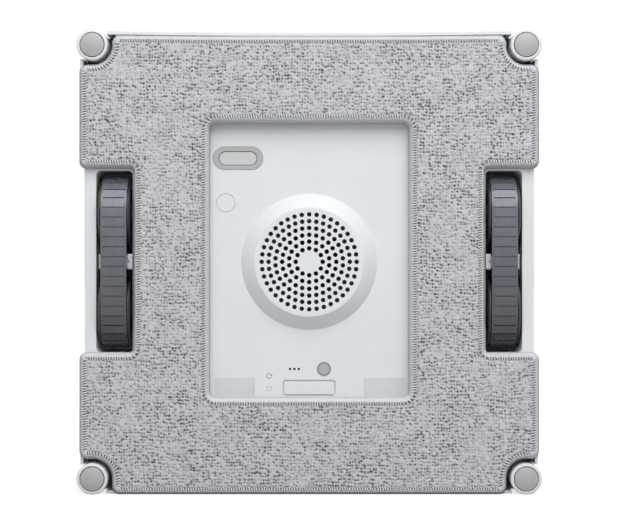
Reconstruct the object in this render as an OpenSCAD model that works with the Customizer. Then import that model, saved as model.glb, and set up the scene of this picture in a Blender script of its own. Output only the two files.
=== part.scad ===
// Window cleaning robot: a square body on two belt tracks, with a suction fan and a cleaning cloth.
// The glass is the plane y = 0 and the body lies behind it. x points right and z points up.

/* [Body] */
// Width and height over the corner rollers
overall_w = 231; // [228:1:240]
// Depth from the glass to the back
overall_d = 77; // [75:1:84]
// Reach of the rollers past the side walls
side_overhang = 1.5; // [1:0.1:2]
// Reach of the rollers past the top wall
top_overhang = 0.5; // [0.2:0.1:1]
// Sag of the top edge at its middle
top_bow = 1; // [0.6:0.1:1.4]
// Corner radius of the housing
corner_r = 8; // [7.6:0.1:9]
// Corner radius of the flat back
back_corner_r = 26; // [22:1:34]
// Rounding from the sides into the back
back_round = 18; // [13:1:21]
// Wall of the two housing shells
wall = 2.4; // [2:0.1:2.7]
// Thickness of the front plate and of the panel
plate_t = 2.2; // [2:0.1:2.5]
// Distance from the glass to the front plate
front_y = 5.3; // [5:0.1:5.8]
// Distance from the glass to the recessed panel
panel_y = 8.5; // [8:0.1:9]
// Distance from the glass to the seam between the shells
seam_y = 26; // [25:0.5:30]

/* [Cloth] */
// Thickness of the cleaning cloth
cloth_t = 4.3; // [3.8:0.1:4.6]
// Distance of the cloth's side edge inside the rollers' reach
cloth_side = 2.2; // [1.8:0.1:3]
// Distance of the cloth's top edge inside the rollers' reach
cloth_top = 3.5; // [3:0.1:5]
// Distance of the cloth's bottom edge inside the rollers' reach
cloth_bottom = 0.8; // [0.5:0.1:2]
// Width of the window in the cloth
window_w = 101.2; // [98:0.2:102]
// Height of the window above the centre
window_up = 69.7; // [68:0.1:70.5]
// Height of the window below the centre
window_down = 70.4; // [70:0.1:71]
// Corner radius of the window
window_r = 4; // [3:0.5:6]
// Gap between a roller and the cloth's corner notch
cloth_roller_gap = 2.8; // [2.4:0.1:3.4]
// Rounding of the cloth's outer corners
cloth_round = 3; // [2:0.5:4]
// Height of the cloth's track notch above the centre
notch_up = 47.4; // [46.5:0.1:48]
// Height of the cloth's track notch below the centre
notch_down = 46; // [45.8:0.1:48]
// Corner radius of the cloth's track notch
notch_r = 2.5; // [1.5:0.5:3]

/* [Tracks] */
// Distance from the rollers' reach to the middle of a track
track_inset = 18.45; // [18.4:0.05:18.8]
// Width of a track pocket
pocket_w = 18.2; // [17.8:0.1:18.4]
// Height of a track pocket
pocket_h = 91; // [90.6:0.1:91.4]
// Corner radius of a track pocket
pocket_r = 2.3; // [1.5:0.1:3]
// Wall of a track pocket
pocket_wall = 1.8; // [1.5:0.1:2]
// Inset of the side wall beside a track
rail_inset = 2; // [1.4:0.1:2.2]
// Width of a belt
belt_w = 12.8; // [12:0.1:13]
// Outer radius of a belt where it turns
belt_r = 18.8; // [18.4:0.1:19]
// Thickness of a belt
belt_t = 2.4; // [2:0.1:2.7]
// Number of cross grooves round a belt
belt_grooves = 44; // [40:1:48]
// Width of a cross groove
groove_w = 0.6; // [0.4:0.1:0.8]
// Depth of a cross groove
groove_d = 0.8; // [0.5:0.1:1]
// Width of the smooth border beside the grooves
belt_border = 1; // [0.7:0.1:1.5]
// Distance between the two wheels of a track
wheel_spread = 48.8; // [48.4:0.1:49]
// Thickness of a wheel's flange
flange_t = 1.3; // [1:0.1:1.4]
// How far a flange ends below the belt's outer face
flange_drop = 0.8; // [0.6:0.1:1.4]
// Radius of the turning shaft of a drive wheel
shaft_r = 3; // [2.5:0.1:3.2]
// Radius of the fixed axle of an idler wheel
axle_r = 2.5; // [2:0.1:3]
// Outer radius of a shaft bush
bush_r = 5; // [4.6:0.1:5.4]
// Height of the track frame between the wheels
frame_h = 7.8; // [6.5:0.1:8.4]

/* [Gears] */
// Module of the teeth on the drive gear
drive_module = 0.55; // [0.54:0.01:0.56]
// Teeth of the drive gear
drive_teeth = 32; // [31:1:32]
// Small teeth of the reduction gear
small_teeth = 12; // [12:1:13]
// Module of the teeth on the motor pinion
motor_module = 0.45; // [0.44:0.01:0.46]
// Large teeth of the reduction gear
large_teeth = 44; // [42:1:44]
// Teeth of the motor pinion
pinion_teeth = 10; // [10:1:12]
// Pressure angle of all teeth
pressure_angle = 25; // [24:1:26]
// Play between meshing teeth
backlash = 0.08; // [0.06:0.01:0.12]
// Width of the drive gear's teeth
drive_face = 4; // [3.5:0.1:4.2]
// Width of the large reduction teeth
motor_face = 2; // [1.6:0.1:2.2]
// Wall of the gear case
case_wall = 1.2; // [1:0.1:1.3]
// Radius of a drive motor
motor_r = 10; // [9:0.5:10]
// Length of a drive motor
motor_l = 30; // [24:1:31]

/* [Fan] */
// Radius of the grille's base on the panel
dome_r = 34; // [33:0.5:35]
// Radius of the grille's flat face
dome_flat_r = 27.3; // [26.8:0.1:28]
// Distance from the glass to the grille's flat face
dome_y = 3; // [2.5:0.1:3.5]
// Thickness of the grille
dome_t = 1.6; // [1.3:0.1:1.8]
// Diameter of a hole in the grille
grille_hole_d = 2.1; // [1.6:0.1:2.2]
// Radius of the first ring of holes
ring_first = 6.7; // [6.2:0.1:7]
// Distance between the rings of holes
ring_step = 3.38; // [3.2:0.02:3.4]
// Inner radius of the fan housing
fan_r = 35.2; // [34:0.1:36]
// Wall of the fan housing
fan_wall = 1.8; // [1.5:0.1:2]
// Radius of the inlet eye in front of the fan wheel
eye_r = 20; // [17:0.5:24]
// Clearance round the fan wheel
fan_clear = 1.7; // [1.2:0.1:2.5]
// Number of fan blades
fan_blades = 11; // [7:1:13]
// Height of the fan blades
blade_h = 11.5; // [9:0.5:12]
// Radius of the fan motor
fan_motor_r = 18; // [15:0.5:20]
// Length of the fan motor
fan_motor_l = 26; // [20:1:28]
// Number of guide vanes round the fan motor
guide_vanes = 9; // [5:1:11]

/* [Corner rollers] */
// Outer radius of a roller
roller_r = 7.8; // [7.5:0.1:8]
// Distance from the glass to a roller's front
roller_y = 1.2; // [0.8:0.1:1.6]
// Length of a roller
roller_l = 19; // [17:0.5:19]
// Radius of a sensor button
sensor_r = 5.85; // [5.5:0.05:5.9]
// Gap between a sensor button and its roller
sensor_gap = 0.3; // [0.25:0.05:0.4]
// Height of a sensor button's dome
sensor_dome = 1; // [0.6:0.1:1.3]
// Travel of a sensor button
sensor_travel = 1.6; // [1:0.1:1.8]
// Clearance between a roller and its recess
recess_gap = 2.8; // [2.2:0.1:3.2]
// Width of the thin rim round the front plate
rim_t = 1.5; // [1.3:0.1:1.8]

/* [Panel pieces] */
// Length of the power switch's bezel
bezel_l = 24.9; // [24:0.1:26]
// Height of the power switch's bezel
bezel_h = 11.4; // [11:0.1:12]
// Length of the power switch
switch_l = 18.7; // [17:0.1:19.2]
// Height of the power switch
switch_h = 6.5; // [6:0.1:6.9]
// Swing of the power switch each way, in degrees
switch_swing = 5; // [3:1:6]
// Radius of the round cap
cap_r = 4.5; // [4:0.05:4.8]
// Length of the service cover
service_l = 26.3; // [24:0.1:28]
// Height of the service cover
service_h = 7.95; // [7.5:0.05:8.5]
// Groove round the service cover
service_groove = 0.7; // [0.5:0.1:0.8]
// Radius of the status lens
lens_r = 3.5; // [3:0.1:3.7]
// Radius of the reset button
reset_r = 1.1; // [0.9:0.05:1.3]
// Width of a finger notch
finger_w = 20.5; // [18:0.5:21]
// Height of a finger notch
finger_h = 11.6; // [10:0.1:12]

/* [Inside] */
// Room between the battery pack and the bottom wall
battery_clear = 0.8; // [0.5:0.1:1.5]
// Room between the battery pack and the panel's tub
battery_room = 2.9; // [2:0.1:4]
// Room between an end of the battery pack and a screw post
battery_gap = 5.8; // [4:0.1:7]
// Room between an end of the main board and a screw post
board_gap = 7.8; // [6:0.1:16]
// Room between the main board and the top wall
board_room = 13.3; // [12:0.1:17]
// Thickness of the main board
board_t = 1.6; // [1.2:0.1:2]

/* [Back] */
// Radius of the exhaust grille
exhaust_r = 33.6; // [32:0.1:34]
// Number of slots in the exhaust grille
exhaust_slots = 30; // [20:1:34]
// Radius of the start button
start_r = 10.6; // [9.5:0.1:11]
// Travel of the start button
start_travel = 0.8; // [0.4:0.1:1]
// Bore radius of the cord gland
gland_bore_r = 2.6; // [2.2:0.1:3]
// Outer radius of the cord gland
gland_r = 7; // [6:0.5:8]
// Radius of the rope anchor bar
anchor_r = 1.75; // [1.5:0.05:2]
// Radius of the recess round the rope anchor
anchor_recess_r = 9; // [8:0.5:10]

/* [Fits] */
// Radial clearance of a turning fit
running_gap = 0.05; // [0.03:0.01:0.1]
// Clearance round a piece that is pushed in
seat_gap = 0.05; // [0.03:0.01:0.1]
// Clearance round a button or between a belt and its wheel
free_gap = 0.3; // [0.2:0.05:0.35]
// Clearance along a turning piece
end_gap = 0.4; // [0.3:0.1:0.6]

/* [Hidden] */

$fn = 64;
// Overrun of every cut past the face that it leaves
cut = 1;

// The housing's outline
half = overall_w / 2;
side_x = half - side_overhang;
top_z = half - top_overhang;
bottom_z = -half;
bow_half = side_x - corner_r;
bow_r = (bow_half * bow_half + top_bow * top_bow) / (2 * top_bow);
bow_facets = 720;
rail_margin = 1.8;
seal_t = 0.8;
seal_inset = 0.5;
tongue_t = 1.2;
tongue_h = 3;
groove_deep = 1;
groove_lap = 1.5;
inner_y = front_y + plate_t;
back_y = overall_d - wall;

// The window and the panel behind it
window_margin = 0.8;
tub_wall = 1.8;
panel_back = panel_y + plate_t;
window_z = (window_up - window_down) / 2;

// The hook strips under the cloth
strip_h = 15;
strip_in = 16;
strip_window = 6;
strip_pocket = 8;
cloth_pocket = 1.3;

// The tracks
track_x = half - track_inset;
belt_clear = 1.6;
pocket_back = 2 * belt_r + belt_clear;
pocket_in = track_x - pocket_w / 2;
pocket_out = track_x + pocket_w / 2;
wheel_z = wheel_spread / 2;
belt_in_r = belt_r - belt_t;
wheel_r = belt_in_r - free_gap;
flange_r = belt_r - flange_drop;
wheel_half = belt_w / 2 + free_gap + flange_t;
wheel_rim_t = 3;
wheel_web_r = wheel_r - wheel_rim_t;
wheel_web_depth = 3;
wheel_boss_r = 8;
wheel_holes = 6;
bush_flange_t = 1;
bush_flange_w = 1.2;
bush_flange_r = bush_r + bush_flange_w;
belt_turn = PI * belt_r;
groove_pitch = 2 * (wheel_spread + belt_turn) / belt_grooves;
frame_clear = 1.2;
frame_round = 1;
frame_web = 2;
frame_notch_r = 1;
end_plate_gap = 0.2;
end_plate_t = 0.9;

// The gear train, in planes from the pocket wall inwards
gear_wall_x = pocket_in - pocket_wall;
drive_plane = gear_wall_x - bush_flange_t - end_gap - drive_face;
motor_plane = drive_plane - end_gap - motor_face;
case_plate_x = motor_plane - end_gap - case_wall;
drive_pitch_r = drive_module * drive_teeth / 2;
small_pitch_r = drive_module * small_teeth / 2;
large_pitch_r = motor_module * large_teeth / 2;
pinion_pitch_r = motor_module * pinion_teeth / 2;
drive_mesh_angle = 55;
motor_mesh_angle = 65;
reduction_y = belt_r + (drive_pitch_r + small_pitch_r) * cos(drive_mesh_angle);
reduction_z = wheel_z + (drive_pitch_r + small_pitch_r) * sin(drive_mesh_angle);
motor_y = reduction_y + (large_pitch_r + pinion_pitch_r) * cos(motor_mesh_angle);
motor_z = reduction_z + (large_pitch_r + pinion_pitch_r) * sin(motor_mesh_angle);
addendum_share = 0.8;
dedendum_share = 1.05;
reduction_pin_r = 1.2;
case_clear = 0.8;
case_r = 5;
motor_shaft_r = 1;
motor_neck_r = 3;
motor_tail = 2;
motor_flat_in = 3;
motor_flat = 0.8;
case_bottom = wheel_z - drive_pitch_r - drive_module - case_clear - case_wall;
case_top = motor_z + motor_r;
case_back = reduction_y + large_pitch_r + motor_module + case_clear + case_wall;

// The fan, from the grille backwards
ring_counts = [12, 18, 24, 30, 36, 40];
spigot_r = 30;
spigot_t = 1.4;
gasket_t = 1.3;
gasket_out = fan_r + fan_wall;
dome_steps = 6;
fan_front = panel_back + gasket_t;
lip_t = 1.6;
blade_t = 1.2;
blade_sweep = 52;
blade_steps = 7;
blade_in_r = 13;
impeller_r = fan_r - fan_clear;
impeller_front = fan_front + lip_t + end_gap;
impeller_plate = 1.5;
impeller_back = impeller_front + blade_h + impeller_plate;
impeller_hub_r = 8;
impeller_nose = 1;
impeller_fillet = 1;
fan_shaft_r = 2;
fan_shaft_in = 3;
fan_motor_gap = 2;
fan_motor_bevel = 1;
fan_motor_boss = 2;
motor_front = impeller_back + fan_motor_gap;
motor_back = motor_front + fan_motor_l;
vane_l = 16;
ring_t = 1.6;

// The corner rollers, from the glass backwards
roller_at = half - roller_r;
roller_rim = 0.8;
recess_r = roller_r + recess_gap;
recess_wall = 1.6;
recess_end = 0.8;
recess_y = roller_y + roller_l + recess_end;
recess_back = recess_y + recess_wall;
corner_cut = 6.7;
corner_wall = roller_at - corner_cut;
post_r = 4.4;
post_flange_t = 0.8;
post_flange_r = sensor_r - end_gap;
sensor_t = 3.4;
sensor_back = sensor_dome + sensor_t;
press_room = 0.9;
post_front = sensor_back + sensor_travel + press_room;
stem_r = 1.5;
stem_l = 14;
spring_wire = 0.5;
spring_r = 2.3;
spring_turns = 5;
spring_room_r = spring_r + spring_wire / 2 + free_gap;
spring_sunk = 6.6;
spring_floor = post_front + spring_sunk;
corners = [[-1, 1], [1, 1], [-1, -1], [1, -1]];

// The pieces of the panel
switch_x = -35.6;
switch_z = 51.8;
bezel_rise = 0.2;
bezel_y = panel_y - bezel_rise;
bezel_gap = 0.15;
bezel_step = 0.5;
bezel_floor = 2;
switch_gap = 0.3;
switch_sunk = 0.4;
switch_t = 3.6;
switch_under = 1.5;
switch_y = bezel_y + switch_sunk;
switch_room = switch_sunk + switch_t + switch_l / 2 * sin(switch_swing) + switch_under;
switch_pin_r = 0.9;
switch_pin_in = 2.3;
switch_pin_out = 1;
switch_pin_y = switch_y + switch_pin_in;
bezel_back = bezel_y + switch_room + bezel_floor;
cap_x = -41.7;
cap_z = 29.5;
cap_stem_r = 2;
cap_stem_out = 1;
cap_gap = 0.2;
service_z = -63;
service_r = 1.4;
service_deep = 1.6;
service_foot = 0.6;
lens_x = 7.4;
lens_z = -53.6;
lens_rise = 0.2;
lens_flange = 1;
dot_x = -7.4;
dot_step = 2.2;
dot_d = 1;
reset_x = -20.1;
reset_z = -63.3;
reset_gap = 0.15;
reset_head = 1;
finger_x = 37.55;
finger_z = -58.1;
finger_deep = 2.4;

// The posts and the screws
post_side = 38;
post_top = 11.5;
post_x = side_x - post_side;
post_z = half - post_top;
boss_r = 4.2;
boss_y = 30;
screw_r = 1.5;
screw_head_r = 2.8;
screw_head_t = 1.8;
screw_sunk = 1.2;
screw_head_y = front_y + screw_sunk;
screw_l = 34;
screw_hole_gap = 0.2;

// The board and the battery
board_y = 14;
board_clear = 3;
board_z = window_up + window_margin + tub_wall + board_clear;
board_w = 2 * (post_x - boss_r - board_gap);
board_h = top_z - wall - board_z - board_room;
board_post_r = 3;
board_post_in = 4;
chip_t = 1.6;
plug_t = 6;
can_h = 9;
// Places and widths along the board, then heights, of its chips, plugs and cans
chip_shares = [[-0.14, 0.11, 0.58], [0.05, 0.07, 0.38], [0.19, 0.05, 0.38]];
plug_shares = [[-0.38, 0.06, 0.5], [-0.28, 0.06, 0.5]];
can_shares = [[0.28, 0.06], [0.36, 0.06]];
cell_r = (half - wall - (window_down + window_margin + tub_wall) - battery_clear - battery_room) / 4;
battery_z = -half + wall + battery_clear + 2 * cell_r;
battery_side = post_x - boss_r - battery_gap;
rib_t = 1.6;
rib_h = 9;

// The back
grille_t = 3;
grille_sunk = 0.5;
grille_y = overall_d - grille_sunk - grille_t;
grille_rim = 2.4;
exhaust_gap = 0.3;
ring_w = 1.6;
ring_sunk = 0.4;
hub_wall = 2.2;
hub_r = start_r + free_gap + ring_w + hub_wall;
hub_floor = 1.6;
start_t = 3.4;
start_sunk = 0.2;
start_back = overall_d - start_sunk - start_t;
slot_w = 2;
slot_margin = 0.7;
collar_l = 3;
gland_x = 45;
gland_top = 27;
gland_z = top_z - gland_top;
gland_groove = 1.2;
gland_neck = 4;
anchor_x = -45;
anchor_deep = 9;
anchor_wall = 1.8;

white = [0.88, 0.89, 0.90];
pale = [0.80, 0.82, 0.84];
grey = [0.66, 0.67, 0.69];
dark = [0.20, 0.21, 0.23];
black = [0.10, 0.10, 0.11];
belt_grey = [0.33, 0.34, 0.38];
cloth_grey = [0.70, 0.71, 0.72];
steel = [0.72, 0.73, 0.75];
bronze = [0.72, 0.53, 0.30];
green = [0.12, 0.36, 0.22];
blue = [0.20, 0.36, 0.60];

// Frames for flat shapes and rods

// A shape drawn in x and z, from one distance behind the glass to another
module slab(y0, y1) {
    translate([0, y1, 0]) rotate([90, 0, 0]) linear_extrude(height = y1 - y0) children();
}

// A shape drawn in y and z, from one x to another
module across(x0, x1) {
    translate([x0, 0, 0]) rotate([90, 0, 90]) linear_extrude(height = x1 - x0) children();
}

module rod_y(x, z, y0, y1, r) {
    translate([x, y0, z]) rotate([-90, 0, 0]) cylinder(h = y1 - y0, r = r);
}

module rod_x(y, z, x0, x1, r) {
    translate([x0, y, z]) rotate([0, 90, 0]) cylinder(h = x1 - x0, r = r);
}

// A profile in radius and y, turned round a line along y
module turned(x, z) {
    translate([x, 0, z]) rotate([-90, 0, 0]) rotate_extrude() children();
}

module rounded(w, h, r) {
    square([w - 2 * r, h], center = true);
    square([w, h - 2 * r], center = true);
    for (sx = [-1, 1], sy = [-1, 1]) {
        translate([sx * (w / 2 - r), sy * (h / 2 - r)]) circle(r = r);
    }
}

module pill(w, h) {
    square([w - h, h], center = true);
    for (s = [-1, 1]) {
        translate([s * (w - h) / 2, 0]) circle(r = h / 2);
    }
}

module left_side() {
    mirror([1, 0, 0]) children();
}

// The housing shells

// Outline of the housing, drawn in by an inset
module outline(inset = 0) {
    r = corner_r - inset;
    difference() {
        translate([0, (top_z + bottom_z) / 2]) {
            rounded(2 * (side_x - inset), top_z - bottom_z - 2 * inset, r);
        }
        translate([0, top_z - inset - top_bow + bow_r]) circle(r = bow_r, $fn = bow_facets);
    }
}

// The same outline with the shallow side insets of the base beside the tracks
module base_outline(inset = 0) {
    difference() {
        outline(inset);
        for (s = [-1, 1]) {
            translate([s * (side_x - rail_inset - inset + side_x / 2), 0]) {
                square([side_x, notch_up + notch_down + 2 * rail_margin + 2 * inset], center = true);
            }
        }
    }
}

module window_shape(margin = 0) {
    translate([0, window_z]) {
        rounded(window_w + 2 * margin, window_up + window_down + 2 * margin, window_r + margin);
    }
}

module at_corners() {
    for (c = corners) {
        translate([c[0] * roller_at, 0, c[1] * roller_at]) children();
    }
}

module at_posts() {
    for (sx = [-1, 1], sz = [-1, 1]) {
        translate([sx * post_x, 0, sz * post_z]) children();
    }
}

module at_board_posts() {
    for (sx = [-1, 1], z = [board_z + board_post_in, board_z + board_h - board_post_in]) {
        translate([sx * (board_w / 2 - board_post_in), 0, z]) children();
    }
}

// Wedge that deepens a finger notch downwards
module finger_notch() {
    z_end = -window_down - window_margin;
    across(-finger_w / 2, finger_w / 2) polygon([
        [panel_y - cut, finger_z], [panel_y, finger_z],
        [panel_y + finger_deep, finger_z - finger_h], [panel_y + finger_deep, z_end],
        [panel_y - cut, z_end]
    ]);
}

// Room for one roller inside the housing's thin rim
module recess_shape(extra) {
    intersection() {
        outline(rim_t);
        for (c = corners) {
            translate([c[0] * roller_at, c[1] * roller_at]) circle(r = recess_r + extra);
        }
    }
}

// Open corners of the housing, beyond the ends of its walls
module corner_cuts(y1) {
    for (c = corners) {
        slab(front_y - cut, y1) {
            translate([c[0] * (corner_wall + half / 2), c[1] * (corner_wall + half / 2)]) {
                square([half, half], center = true);
            }
        }
    }
}

module track_pocket_cuts() {
    slab(front_y - cut, pocket_back) {
        translate([track_x, 0]) rounded(pocket_w, pocket_h, pocket_r);
    }
    rod_x(belt_r, wheel_z, gear_wall_x - cut, pocket_out + pocket_wall + cut, bush_r + seat_gap);
    rod_x(belt_r, -wheel_z, gear_wall_x - cut, pocket_out + pocket_wall + cut, axle_r + seat_gap);
}

module base_shell() {
    difference() {
        slab(front_y, seam_y - seal_t) base_outline();
        slab(inner_y, seam_y) base_outline(wall);
    }
    slab(front_y, panel_back) window_shape(window_margin + tub_wall);
    for (s = [-1, 1]) {
        slab(front_y, pocket_back + pocket_wall) {
            translate([s * track_x, 0]) {
                rounded(pocket_w + 2 * pocket_wall, pocket_h + 2 * pocket_wall, pocket_r + pocket_wall);
            }
        }
        slab(front_y, panel_back + finger_deep) {
            translate([s * finger_x, (finger_z - window_down - window_margin - tub_wall) / 2]) {
                square([finger_w + 2 * rib_t, window_down + window_margin + tub_wall + finger_z], center = true);
            }
        }
        slab(front_y, inner_y + rib_h) {
            translate([s * (battery_side + rib_t / 2), battery_z]) {
                square([rib_t, 4 * cell_r], center = true);
            }
        }
    }
    at_posts() rod_y(0, 0, front_y, boss_y, boss_r);
    at_board_posts() rod_y(0, 0, front_y, board_y, board_post_r);
}

module base_housing() color(white) difference() {
    base_shell();
    slab(front_y - cut, panel_y) window_shape(window_margin);
    rod_y(0, 0, front_y, panel_back + cut, spigot_r + seat_gap);
    track_pocket_cuts();
    left_side() track_pocket_cuts();
    slab(front_y - cut, recess_y) recess_shape(0);
    slab(front_y - cut, recess_back) recess_shape(recess_wall);
    corner_cuts(recess_back);
    // Groove between the rim and the cloth's top edge
    slab(front_y - cut, front_y + groove_deep) intersection() {
        outline(rim_t);
        translate([0, half - cloth_top - top_bow - groove_lap + half / 2]) square([2 * corner_wall, half], center = true);
    }
    at_posts() {
        rod_y(0, 0, front_y - cut, screw_head_y + screw_head_t, screw_head_r + screw_hole_gap);
        rod_y(0, 0, front_y, boss_y + cut, screw_r + screw_hole_gap);
    }
    slab(front_y, panel_back + cut) {
        translate([switch_x, switch_z]) pill(bezel_l + 2 * bezel_gap, bezel_h + 2 * bezel_gap);
    }
    rod_y(cap_x, cap_z, panel_y - cut, panel_y + plate_t / 2, cap_r + cap_gap);
    rod_y(cap_x, cap_z, panel_y, panel_back + cut, cap_stem_r + seat_gap);
    rod_y(lens_x, lens_z, front_y, panel_back + cut, lens_r + seat_gap);
    for (i = [-1:1]) {
        rod_y(dot_x + i * dot_step, lens_z, front_y, panel_back + cut, dot_d / 2);
    }
    rod_y(reset_x, reset_z, front_y, panel_back + cut, reset_r + reset_gap);
    slab(front_y, panel_y + service_deep) translate([0, service_z]) rounded(service_l, service_h, service_r);
    for (s = [-1, 1]) {
        translate([s * finger_x, 0, 0]) finger_notch();
    }
}

module roller_cups() color(dark) difference() {
    slab(inner_y, recess_back) recess_shape(recess_wall);
    slab(inner_y - cut, recess_y) recess_shape(0);
    corner_cuts(recess_y);
    at_corners() rod_y(0, 0, recess_y - cut, recess_back + cut, post_r + seat_gap);
}

// Points of the housing's outline at one level, counter-clockwise seen from behind the glass
corner_steps = 6;
top_steps = 6;
function bow_at(x) = top_bow * max(0, 1 - x * x / (bow_half * bow_half));
function corner_points(cx, cz, r, from) = [
    for (i = [0:corner_steps]) [cx + r * cos(from + 90 * i / corner_steps), cz + r * sin(from + 90 * i / corner_steps)]
];
function ring_points(inset, r) =
    let (x = side_x - inset - r, zt = top_z - inset - r, zb = bottom_z + inset + r)
    concat(
        corner_points(x, zt, r, 0),
        [for (i = [1:top_steps - 1]) let (px = x * (1 - 2 * i / top_steps)) [px, top_z - inset - bow_at(px)]],
        corner_points(-x, zt, r, 90), corner_points(-x, zb, r, 180), corner_points(x, zb, r, 270)
    );

// A closed solid through rings of points that share one count
module loft(ys, rings) {
    n = len(rings[0]);
    levels = len(ys);
    polyhedron(
        points = [for (k = [0:levels - 1], p = rings[k]) [p[0], ys[k], p[1]]],
        faces = concat(
            [[for (i = [n - 1:-1:0]) i]],
            [for (k = [0:levels - 2], i = [0:n - 1], f = [0, 1])
                let (a = k * n + i, b = k * n + (i + 1) % n)
                f == 0 ? [a, b + n, a + n] : [a, b, b + n]],
            [[for (i = [0:n - 1]) (levels - 1) * n + i]]
        )
    );
}

// The cover's form: straight sides, then a rounding into the flat back
round_steps = 6;
module cover_form(y0, inset) {
    f = back_round - inset;
    turn = [for (i = [0:round_steps]) 90 * i / round_steps];
    ys = concat([y0], [for (a = turn) overall_d - back_round + f * sin(a)]);
    rings = concat(
        [ring_points(inset, corner_r - inset)],
        [for (a = turn) ring_points(
            inset + f * (1 - cos(a)), corner_r - inset + (back_corner_r - corner_r) * a / 90
        )]
    );
    loft(ys, rings);
}

module cover_cups() {
    at_posts() rod_y(0, 0, boss_y, overall_d, boss_r);
    rod_y(gland_x, gland_z, back_y - gland_neck, overall_d, gland_r + wall);
    rod_y(anchor_x, gland_z, overall_d - anchor_deep - anchor_wall, overall_d, anchor_recess_r + anchor_wall);
    difference() {
        rod_y(0, 0, back_y - collar_l, overall_d, exhaust_r + exhaust_gap + wall);
        rod_y(0, 0, back_y - collar_l - cut, overall_d, fan_r + fan_wall + exhaust_gap);
    }
}

module top_cover() color(white) {
    difference() {
        cover_form(seam_y, 0);
        difference() {
            cover_form(seam_y - cut, wall);
            cover_cups();
        }
        rod_y(0, 0, back_y - cut, overall_d + cut, exhaust_r + exhaust_gap);
        rod_y(gland_x, gland_z, back_y - gland_neck - cut, overall_d + cut, gland_r - gland_groove + seat_gap);
        rod_y(gland_x, gland_z, overall_d - gland_groove, overall_d + cut, gland_r + seat_gap);
        rod_y(anchor_x, gland_z, overall_d - anchor_deep, overall_d + cut, anchor_recess_r);
        rod_x(overall_d - anchor_deep / 2, gland_z, anchor_x - anchor_recess_r - anchor_wall - cut,
            anchor_x + anchor_recess_r + anchor_wall + cut, anchor_r + seat_gap);
        at_posts() rod_y(0, 0, boss_y - cut, screw_head_y + screw_l + cut, screw_r + seat_gap);
    }
    // Tongue that guides the cover inside the base's wall, open beside the tracks
    difference() {
        union() {
            slab(seam_y - tongue_h, seam_y + wall) outline(wall + free_gap);
            slab(seam_y, seam_y + wall) outline(wall / 2);
        }
        slab(seam_y - tongue_h - cut, seam_y + wall + cut) outline(wall + free_gap + tongue_t);
        translate([0, seam_y, 0]) {
            cube([2 * half, 4 * tongue_h, notch_up + notch_down + 4 * wall], center = true);
        }
    }
}

module housing_seal() color(dark) difference() {
    slab(seam_y - seal_t, seam_y) base_outline(seal_inset);
    slab(seam_y - seal_t - cut, seam_y + cut) base_outline(wall);
}

module cover_screws() color(steel) at_posts() {
    rod_y(0, 0, screw_head_y, screw_head_y + screw_head_t, screw_head_r);
    rod_y(0, 0, screw_head_y, screw_head_y + screw_l, screw_r);
}

// The cleaning cloth

// Waste outside a convex corner at the origin that is rounded towards -x and -y
module corner_waste(r) {
    difference() {
        translate([-r, -r]) square([r + cut, r + cut]);
        translate([-r, -r]) circle(r = r);
    }
}

module cloth_shape() {
    x1 = half - cloth_side;
    z1 = half - cloth_top;
    z0 = -half + cloth_bottom;
    notch = roller_r + cloth_roller_gap;
    inner = pocket_in - cloth_pocket;
    difference() {
        intersection() {
            translate([-x1, z0]) square([2 * x1, z1 - z0]);
            translate([0, z1 - top_bow - bow_r]) circle(r = bow_r, $fn = bow_facets);
        }
        window_shape();
        for (c = corners) {
            z_edge = c[1] > 0 ? z1 : -z0;
            scale([c[0], c[1]]) {
                translate([roller_at, roller_at]) circle(r = notch);
                translate([roller_at - notch, roller_at]) square([2 * notch, 2 * notch]);
                translate([roller_at, roller_at - notch]) square([2 * notch, 2 * notch]);
                translate([roller_at - notch, z_edge]) corner_waste(cloth_round);
                translate([x1, roller_at - notch]) corner_waste(cloth_round);
            }
        }
        for (s = [-1, 1]) scale([s, 1]) {
            translate([inner + notch_r, -notch_down]) square([half, notch_up + notch_down]);
            translate([inner, -notch_down + notch_r]) square([half, notch_up + notch_down - 2 * notch_r]);
            for (z = [-notch_down + notch_r, notch_up - notch_r]) {
                translate([inner + notch_r, z]) circle(r = notch_r);
            }
            translate([x1, notch_up]) scale([1, -1]) corner_waste(notch_r);
            translate([x1, -notch_down]) corner_waste(notch_r);
        }
    }
}

module cleaning_cloth() color(cloth_grey) slab(0, cloth_t) cloth_shape();

module hook_strips() color(pale) slab(cloth_t, front_y) {
    inner = window_w / 2 + strip_window;
    outer = pocket_in - strip_pocket;
    for (s = [-1, 1]) {
        translate([0, s * (roller_at - strip_in)]) square([2 * outer, strip_h], center = true);
        translate([s * (inner + outer) / 2, 0]) {
            square([outer - inner, window_up + window_down - 2 * strip_h], center = true);
        }
    }
}

// The fan

// Convex flank of the grille, from its flat face down to its base
dome_flank = [
    for (i = [0:dome_steps])
        let (a = 90 * i / dome_steps)
        [dome_flat_r + (dome_r - dome_flat_r) * sin(a), dome_y + (panel_y - dome_y) * (1 - cos(a))]
];

module fan_grille() color(white) {
    slab(dome_y, dome_y + dome_t) difference() {
        circle(r = dome_flat_r - dome_t);
        for (k = [0:len(ring_counts) - 1], i = [0:ring_counts[k] - 1]) {
            rotate(90 - 360 * i / ring_counts[k]) translate([ring_first + k * ring_step, 0]) {
                circle(r = grille_hole_d / 2, $fn = 16);
            }
        }
    }
    turned(0, 0) polygon(concat(
        [[dome_flat_r - 2 * dome_t, dome_y]], dome_flank,
        [[spigot_r, panel_y], [spigot_r, fan_front], [spigot_r - spigot_t, fan_front],
            [spigot_r - spigot_t, dome_y + dome_t + spigot_t], [dome_flat_r - 2 * dome_t, dome_y + dome_t]]
    ));
}

module fan_gasket() color(dark) difference() {
    rod_y(0, 0, panel_back, fan_front, gasket_out);
    rod_y(0, 0, panel_back - cut, fan_front + cut, spigot_r + free_gap);
}

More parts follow.
